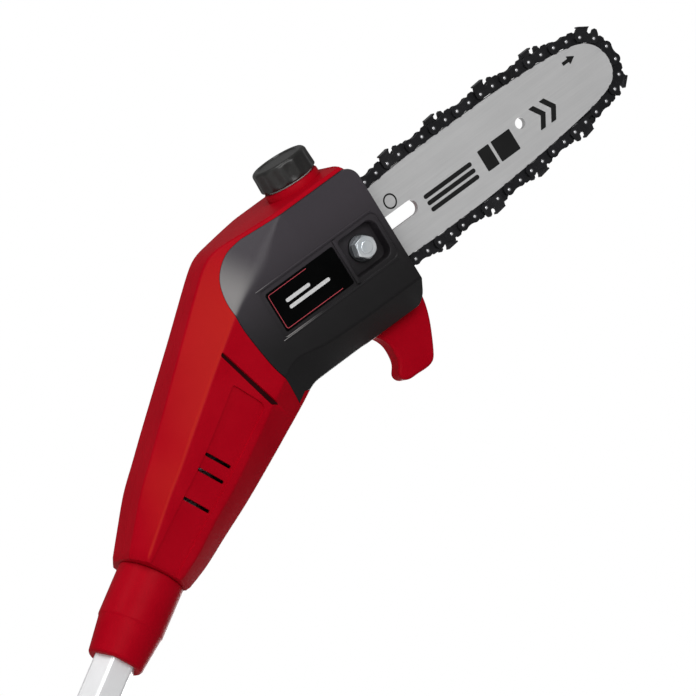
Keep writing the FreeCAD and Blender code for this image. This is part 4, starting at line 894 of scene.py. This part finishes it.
cover = boolean(cover, [
    stack("band", [(inset2(band, 0.5), 30.7), (band, 31.4), (band, 32.02), (inset2(band, -0.5), 32.5)], in_bar, M["black"]),
    stack("pocket", [(inset2(pocket, 0.4), 22.4), (pocket, 23.4), (pocket, 30.3), (inset2(pocket, -0.45), 30.75), (inset2(pocket, -0.45), 33.0)],
          in_bar, M["black"]),
    stack("seat", [(seat, 29.8), (seat, 33.0)], in_bar, M["black"]),
    box_tool("front", (281.0, 80.0, 8.0), (300.0, 159.0, 19.6), in_bar),
    lathe("bolt", [(4.4, 15.0), (4.4, 25.0)], lambda x, y, h: P(267.4 + x, 117.9 + y, h), M["black"], 48),
])
cover.name = "sprocket_cover_shell"
finish_mesh(cover, M["cover"], 34.0)


def ridge(name, u0, v0, u1, v1, lo, hi):
    """raised rib with bevelled edges"""
    o = arc_corners([(u0, v0), (u1, v0), (u1, v1), (u0, v1)], 0.45, 4)
    return stack(name, [(o, lo), (o, hi - 0.3), (inset2(o, 0.3), hi)], in_bar, M["black"])


ribs = [ridge("cover_rib_top", 188.8, 134.2, 281.0, 135.4, 31.7, 32.35), ridge("cover_rib_low", 188.4, 100.9, 281.0, 102.1, 31.7, 32.35),
        ridge("cover_rib_mid", 249.3, 103.0, 251.6, 133.2, 30.5, 31.9)]

# ---- label plate with a printed frame line and a plain mark of no meaning
def strip(name, pts, w, h0, h1, mat):
    """thin printed line along a polyline"""
    bm = bmesh.new()
    prev = None
    n_ = len(pts)
    for i, p in enumerate(pts):
        a = Vector(pts[max(0, i - 1)])
        b = Vector(pts[min(n_ - 1, i + 1)])
        t = (b - a).normalized()
        nrm = Vector((-t.y, t.x))
        p = Vector(p)
        q = [bm.verts.new(P(*(p + nrm * w / 2), h0)), bm.verts.new(P(*(p - nrm * w / 2), h0)),
             bm.verts.new(P(*(p - nrm * w / 2), h1)), bm.verts.new(P(*(p + nrm * w / 2), h1))]
        if prev:
            for k in range(4):
                bm.faces.new((prev[k], prev[(k + 1) % 4], q[(k + 1) % 4], q[k]))
        else:
            bm.faces.new(q)
        prev = q
    bm.faces.new(prev)
    return new_object(name, bm, mat)


plate_o = arc_corners([(194.2, 104.8), (248.0, 104.8), (248.0, 130.4), (194.2, 130.4)], 1.4, 5)
plate = stack("label_plate", [(inset2(plate_o, 0.1), 29.8), (plate_o, 29.9), (plate_o, 30.3), (inset2(plate_o, 0.25), 30.5)], in_bar, M["gloss"])
M["line"] = plastic("printed_line", (0.46, 0.05, 0.07), 0.4, grain=500.0, bump=0.0, vary=0.08)
M["mark"] = plastic("printed_mark", (0.62, 0.62, 0.62), 0.4, grain=500.0, bump=0.0, vary=0.03)
line = strip("label_line", arc_corners([(226.0, 129.0), (195.5, 129.0), (195.5, 106.2), (240.0, 106.2)], [0, 1.2, 1.2, 0], 5), 0.38, 30.45, 30.53, M["line"])
bar1 = stack("label_mark", [(arc_corners([(204.0, 114.6), (236.0, 114.6), (236.0, 116.9), (204.0, 116.9)], 1.1, 5), 30.46),
                            (arc_corners([(204.0, 114.6), (236.0, 114.6), (236.0, 116.9), (204.0, 116.9)], 1.1, 5), 30.53)], in_bar, M["mark"])
bar2 = stack("label_mark_short", [(arc_corners([(204.0, 119.0), (223.0, 119.0), (223.0, 121.3), (204.0, 121.3)], 1.1, 5), 30.46),
                                  (arc_corners([(204.0, 119.0), (223.0, 119.0), (223.0, 121.3), (204.0, 121.3)], 1.1, 5), 30.53)], in_bar, M["mark"])

# ---- oil cap
CAP_R, CAP_V0, CAP_H = 18.45, 172.9, 13.7


def facets(a, h):
    k = max(0.0, min(1.0, (h - CAP_V0) / 1.5)) * max(0.0, min(1.0, (CAP_V0 + CAP_H - 0.3 - h) / 3.0))
    s = math.cos(12.0 * a)
    return -0.9 * k * (1 - s) * 0.5


cap_prof = [(0, 160.5), (14.0, 160.5), (14.6, 161.2), (14.6, CAP_V0 + 0.2), (17.5, CAP_V0), (18.2, CAP_V0 + 0.35), (CAP_R, CAP_V0 + 1.1)]
cap_prof += [(CAP_R - 0.05 * k, CAP_V0 + 1.1 + k * 1.4) for k in range(1, 6)]
cap_prof += [(CAP_R - 0.28 - 2.6 * (1 - math.cos(a)), CAP_V0 + CAP_H - 2.9 + 2.6 * math.sin(a)) for a in [math.radians(x) for x in range(6, 91, 12)]]
cap_prof += [(13.6, CAP_V0 + CAP_H - 0.25), (12.9, CAP_V0 + CAP_H - 0.9), (0, CAP_V0 + CAP_H - 0.9)]
cap = lathe("oil_cap_shell", cap_prof, cap_place, M["cap"], 192, 30.0, facets)

# ------------------------------------------------------------------ carried-over parts: edges softened, shapes kept
def soften(name, width=0.35, seg=2, angle=30.0, smooth=32.0):
    ob = nodes[name]
    me = ob.data
    for att in [a.name for a in me.attributes if a.name == "custom_normal"]:
        me.attributes.remove(me.attributes[att])
    me.polygons.foreach_set("use_smooth", [True] * len(me.polygons))
    w = ob.modifiers.new("weld", "WELD")
    w.merge_threshold = 2e-6
    d = ob.modifiers.new("flat", "DECIMATE")
    d.decimate_type = "DISSOLVE"
    d.angle_limit = math.radians(0.6)
    b = ob.modifiers.new("edge", "BEVEL")
    b.width = width * MM
    b.segments = seg
    b.limit_method = "ANGLE"
    b.angle_limit = math.radians(angle)
    b.use_clamp_overlap = True
    b.harden_normals = False
    t = ob.modifiers.new("tri", "TRIANGULATE")
    t.min_vertices = 5
    n_ = ob.modifiers.new("normals", "WEIGHTED_NORMAL")
    n_.keep_sharp = True
    return ob



def islands(me):
    """lists of vertex indices, one for each separate shell, with coincident corners taken as one"""
    key = {}
    root = list(range(len(me.vertices)))

    def find(i):
        while root[i] != i:
            root[i] = root[root[i]]
            i = root[i]
        return i
    for v in me.vertices:
        k = (round(v.co.x, 6), round(v.co.y, 6), round(v.co.z, 6))
        if k in key:
            root[find(v.index)] = find(key[k])
        else:
            key[k] = v.index
    for e in me.edges:
        a, b = find(e.vertices[0]), find(e.vertices[1])
        if a != b:
            root[a] = b
    out = {}
    for i in range(len(root)):
        out.setdefault(find(i), []).append(i)
    return [out[k] for k in sorted(out)]


def to_uv(p):
    x, z = p.x / MM, (p.z - HEAD_Z) / MM
    return Vector((S30 * x + C30 * z, -C30 * x + S30 * z))


rivet_pts = []
for isl in islands(nodes["chain_rivets"].data):
    c = sum((nodes["chain_rivets"].data.vertices[i].co for i in isl), Vector()) / len(isl)
    rivet_pts.append(to_uv(c))
RIVETS = [Vector(q) for q in rivet_pts]
loop = [rivet_pts.pop(0)]
while rivet_pts:
    j = min(range(len(rivet_pts)), key=lambda q: (rivet_pts[q] - loop[-1]).length)
    loop.append(rivet_pts.pop(j))
mid_ = sum(loop, Vector((0, 0))) / len(loop)


# bright domes on each rivet end: worn bare steel, with a painted glint as well
bm = bmesh.new()
ends = [v.co.y for v in nodes["chain_rivets"].data.vertices]
for u_, v_ in RIVETS:
    for face in (min(ends), max(ends)):
        out_ = -1.0 if face < 0 else 1.0
        rows = []
        for rad_, lift in ((0.86, -0.04), (0.80, 0.06), (0.55, 0.15), (0.25, 0.19)):
            rows.append([bm.verts.new(Vector((P(u_ + rad_ * math.cos(t * math.pi / 6), v_ + rad_ * math.sin(t * math.pi / 6), 0).x, face + out_ * lift * MM,
                                              P(u_ + rad_ * math.cos(t * math.pi / 6), v_ + rad_ * math.sin(t * math.pi / 6), 0).z))) for t in range(12)])
        for ra, rb in zip(rows, rows[1:]):
            for t in range(12):
                bm.faces.new((ra[t], ra[(t + 1) % 12], rb[(t + 1) % 12], rb[t]))
        bm.faces.new(rows[0])
        bm.faces.new(rows[-1])
centres = new_object("chain_rivet_centres", bm, M["worn_glint"])
finish_mesh(centres, M["worn_glint"], 40.0)
piece(centres, "upper", "rivet_steel")

M["print"] = plastic("bar_print", (0.012, 0.012, 0.012), 0.55, grain=600.0, bump=0.02, vary=0.1, spec=0.1)
FACE = -min(v.co.y for v in nodes["guide_bar"].data.vertices) / MM


def printed(name, pts, radius):
    out = arc_corners(pts, radius, 5)
    ob = stack(name, [(out, FACE - 0.02), (out, FACE + 0.05)], in_bar, M["print"])
    finish_mesh(ob, M["print"], 30.0)
    piece(ob, "upper", "bar_steel")


def rect(u0, v0, u1, v1):
    return [(u0, v0), (u1, v0), (u1, v1), (u0, v1)]


printed("bar_print_band_top", rect(324.0, 116.6, 362.5, 119.4), 1.35)
printed("bar_print_band_mid", rect(324.0, 112.2, 362.5, 115.0), 1.35)
printed("bar_print_band_low", rect(324.0, 107.8, 362.5, 110.6), 1.35)
printed("bar_print_block_left", rect(369.5, 107.6, 378.5, 121.6), 0.6)
printed("bar_print_block_right", rect(380.5, 107.6, 395.5, 121.6), 0.6)
for k_, u_ in enumerate((413.0, 421.5)):
    printed(f"bar_print_chevron_{k_}", [(u_, 109.0), (u_ + 4.0, 109.0), (u_ + 9.0, 116.5), (u_ + 4.0, 124.0), (u_, 124.0), (u_ + 5.0, 116.5)], 0.3)
printed("bar_print_arrow", [(448.0, 132.6), (452.5, 132.6), (452.5, 130.9), (457.6, 133.7), (452.5, 136.5), (452.5, 134.8), (448.0, 134.8)], 0.2)
printed("bar_print_dash", rect(436.0, 98.4, 449.0, 100.2), 0.5)
printed("bar_print_dash_short", rect(438.5, 95.4, 447.0, 97.2), 0.5)
ring_ = strip("bar_print_ring", [(303.9 + 4.1 * math.cos(t * math.pi / 18), 128.6 + 4.3 * math.sin(t * math.pi / 18)) for t in range(37)], 1.0, FACE - 0.02, FACE + 0.05, M["print"])
finish_mesh(ring_, M["print"], 30.0)
piece(ring_, "upper", "bar_steel")


def reshape_links(src, name, fn, mat, bevel=0.0):
    """copy of a chain node with each link changed in its own frame: s along the chain, n outwards, in millimetres"""
    ob = copy_of(nodes[src], name)
    ob.parent = None
    me = ob.data
    for att in [a.name for a in me.attributes if a.name == "custom_normal"]:
        me.attributes.remove(me.attributes[att])
    for isl in islands(me):
        c = to_uv(sum((me.vertices[i].co for i in isl), Vector()) / len(isl))
        k = min(range(len(loop)), key=lambda q: ((loop[q] + loop[(q + 1) % len(loop)]) / 2 - c).length)
        a, b = loop[k], loop[(k + 1) % len(loop)]
        m = (a + b) / 2
        t = (b - a).normalized()
        nrm = Vector((-t.y, t.x))
        if nrm.dot(m - mid_) < 0:
            nrm = -nrm
        for i in isl:
            q = to_uv(me.vertices[i].co) - m
            s_, n_ = fn(q.dot(t), q.dot(nrm))
            r = m + t * s_ + nrm * n_
            y = me.vertices[i].co.y
            me.vertices[i].co = P(r.x, r.y, -y / MM)
    finish_mesh(ob, mat, 32.0)
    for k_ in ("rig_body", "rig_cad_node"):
        if k_ in ob:
            del ob[k_]
    return ob


chain_cut = reshape_links("chain_cutters", "chain_cutter_links", lambda s_, n_: (s_, n_ if n_ < 2.6 else 2.6 + (n_ - 2.6) * 0.74), M["cutter"])
chain_tie = reshape_links("chain_tie_straps", "chain_tie_links", lambda s_, n_: (s_, n_ * 1.12 if n_ > 0 else n_ * 1.30), M["chain"])

hook = copy_of(nodes["branch_hook"], "branch_hook_shell")
hook.parent = None
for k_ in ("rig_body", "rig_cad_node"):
    if k_ in hook:
        del hook[k_]
hm = hook.data
us = [to_uv(v.co).x for v in hm.vertices]
u0_, u1_ = min(us), max(us)
for v in hm.vertices:
    q = to_uv(v.co)
    uu = u0_ + 4.2 + (q.x - u0_) * (u1_ - u0_ - 6.4) / (u1_ - u0_)
    y = v.co.y / MM
    y = -6.0 + (y + 9.0) * 12.0 / 18.0
    v.co = P(uu, q.y, -y)
nodes["branch_hook_shell"] = hook

for n_, wd_ in (("head_collar", 0.6), ("branch_hook_shell", 1.0), ("clamp_collar", 0.6), ("clamp_lever", 0.6), ("strap_bracket", 0.6), ("trigger", 0.5),
                ("battery_pack", 0.5), ("battery_latch", 0.4), ("handle_left", 0.5), ("handle_right", 0.5), ("bar_nut", 0.15), ("lock_off_button", 0.4)):
    soften(n_, wd_)

# ------------------------------------------------------------------ pieces and bodies
# soft skins moulded over the back of the handle, one on each half
SKIN = arc_corners([(-60.0, 112.0), (2.0, 112.0), (8.5, 122.0), (5.5, 150.0), (5.5, 176.0), (0.0, 186.0), (-60.0, 186.0)], [0, 8, 10, 40, 12, 10, 0], 5)


def plain_place(x, z, y):
    return Vector((x * MM, y * MM, z * MM))


for side_, y0, y1 in (("handle_left", 0.62, 60.0), ("handle_right", -60.0, -0.62)):
    src_ = nodes[side_]
    bm = bmesh.new()
    bm.from_mesh(src_.data)
    bmesh.ops.transform(bm, matrix=src_.matrix_world, verts=bm.verts)
    bmesh.ops.remove_doubles(bm, verts=bm.verts, dist=1e-6)
    skin_ = new_object("grip_skin_" + side_[7:], bm, M["rubber"])
    skin_ = boolean(skin_, [stack("skin_tool", [(SKIN, y0), (SKIN, y1)], plain_place, M["rubber"])], "INTERSECT")
    bm = bmesh.new()
    bm.from_mesh(skin_.data)
    bmesh.ops.remove_doubles(bm, verts=bm.verts, dist=1e-5)
    bm.normal_update()
    for v in bm.verts:
        v.co += v.normal * 0.5 * MM
    bm.to_mesh(skin_.data)
    bm.free()
    finish_mesh(skin_, M["rubber"], 30.0)
    piece(skin_, "rear", "rubber")

piece(left, "upper", "red_plastic", "housing_left")
piece(right, "upper", "red_plastic", "housing_right")
piece(groove_shadow_strip, "upper", "red_plastic")
piece(screws, "upper", "steel", "head_screws")
piece(cover, "upper", "black_plastic", "sprocket_cover")
piece(plate, "upper", "gloss_black", "cover_label_plate")
for ob in (line, bar1, bar2):
    piece(ob, "upper", "gloss_black")
for ob in ribs:
    finish_mesh(ob, M["cover"], 34.0)
    piece(ob, "upper", "black_plastic")
piece(cap, "oil_cap", "black_plastic", "oil_cap")
piece(chain_cut, "upper", "chain_steel", "chain_cutters")
piece(chain_tie, "upper", "chain_steel", "chain_tie_straps")
piece(hook, "upper", "red_plastic", "branch_hook")

# ------------------------------------------------------------------ floor
bm = bmesh.new()
vs = [bm.verts.new((x, y, CAD_BOX[0][2] - 0.0008)) for x, y in ((-3, -3), (3, -3), (3, 3), (-3, 3))]
bm.faces.new(vs)
me = bpy.data.meshes.new("floor")
bm.to_mesh(me)
bm.free()
floor = bpy.data.objects.new("floor", me)
scene.collection.objects.link(floor)
fm, fnt, fb = principled("floor")
fb.inputs["Base Color"].default_value = (0.80, 0.80, 0.80, 1)
fb.inputs["Roughness"].default_value = 0.9
me.materials.append(fm)

bpy.context.view_layer.update()
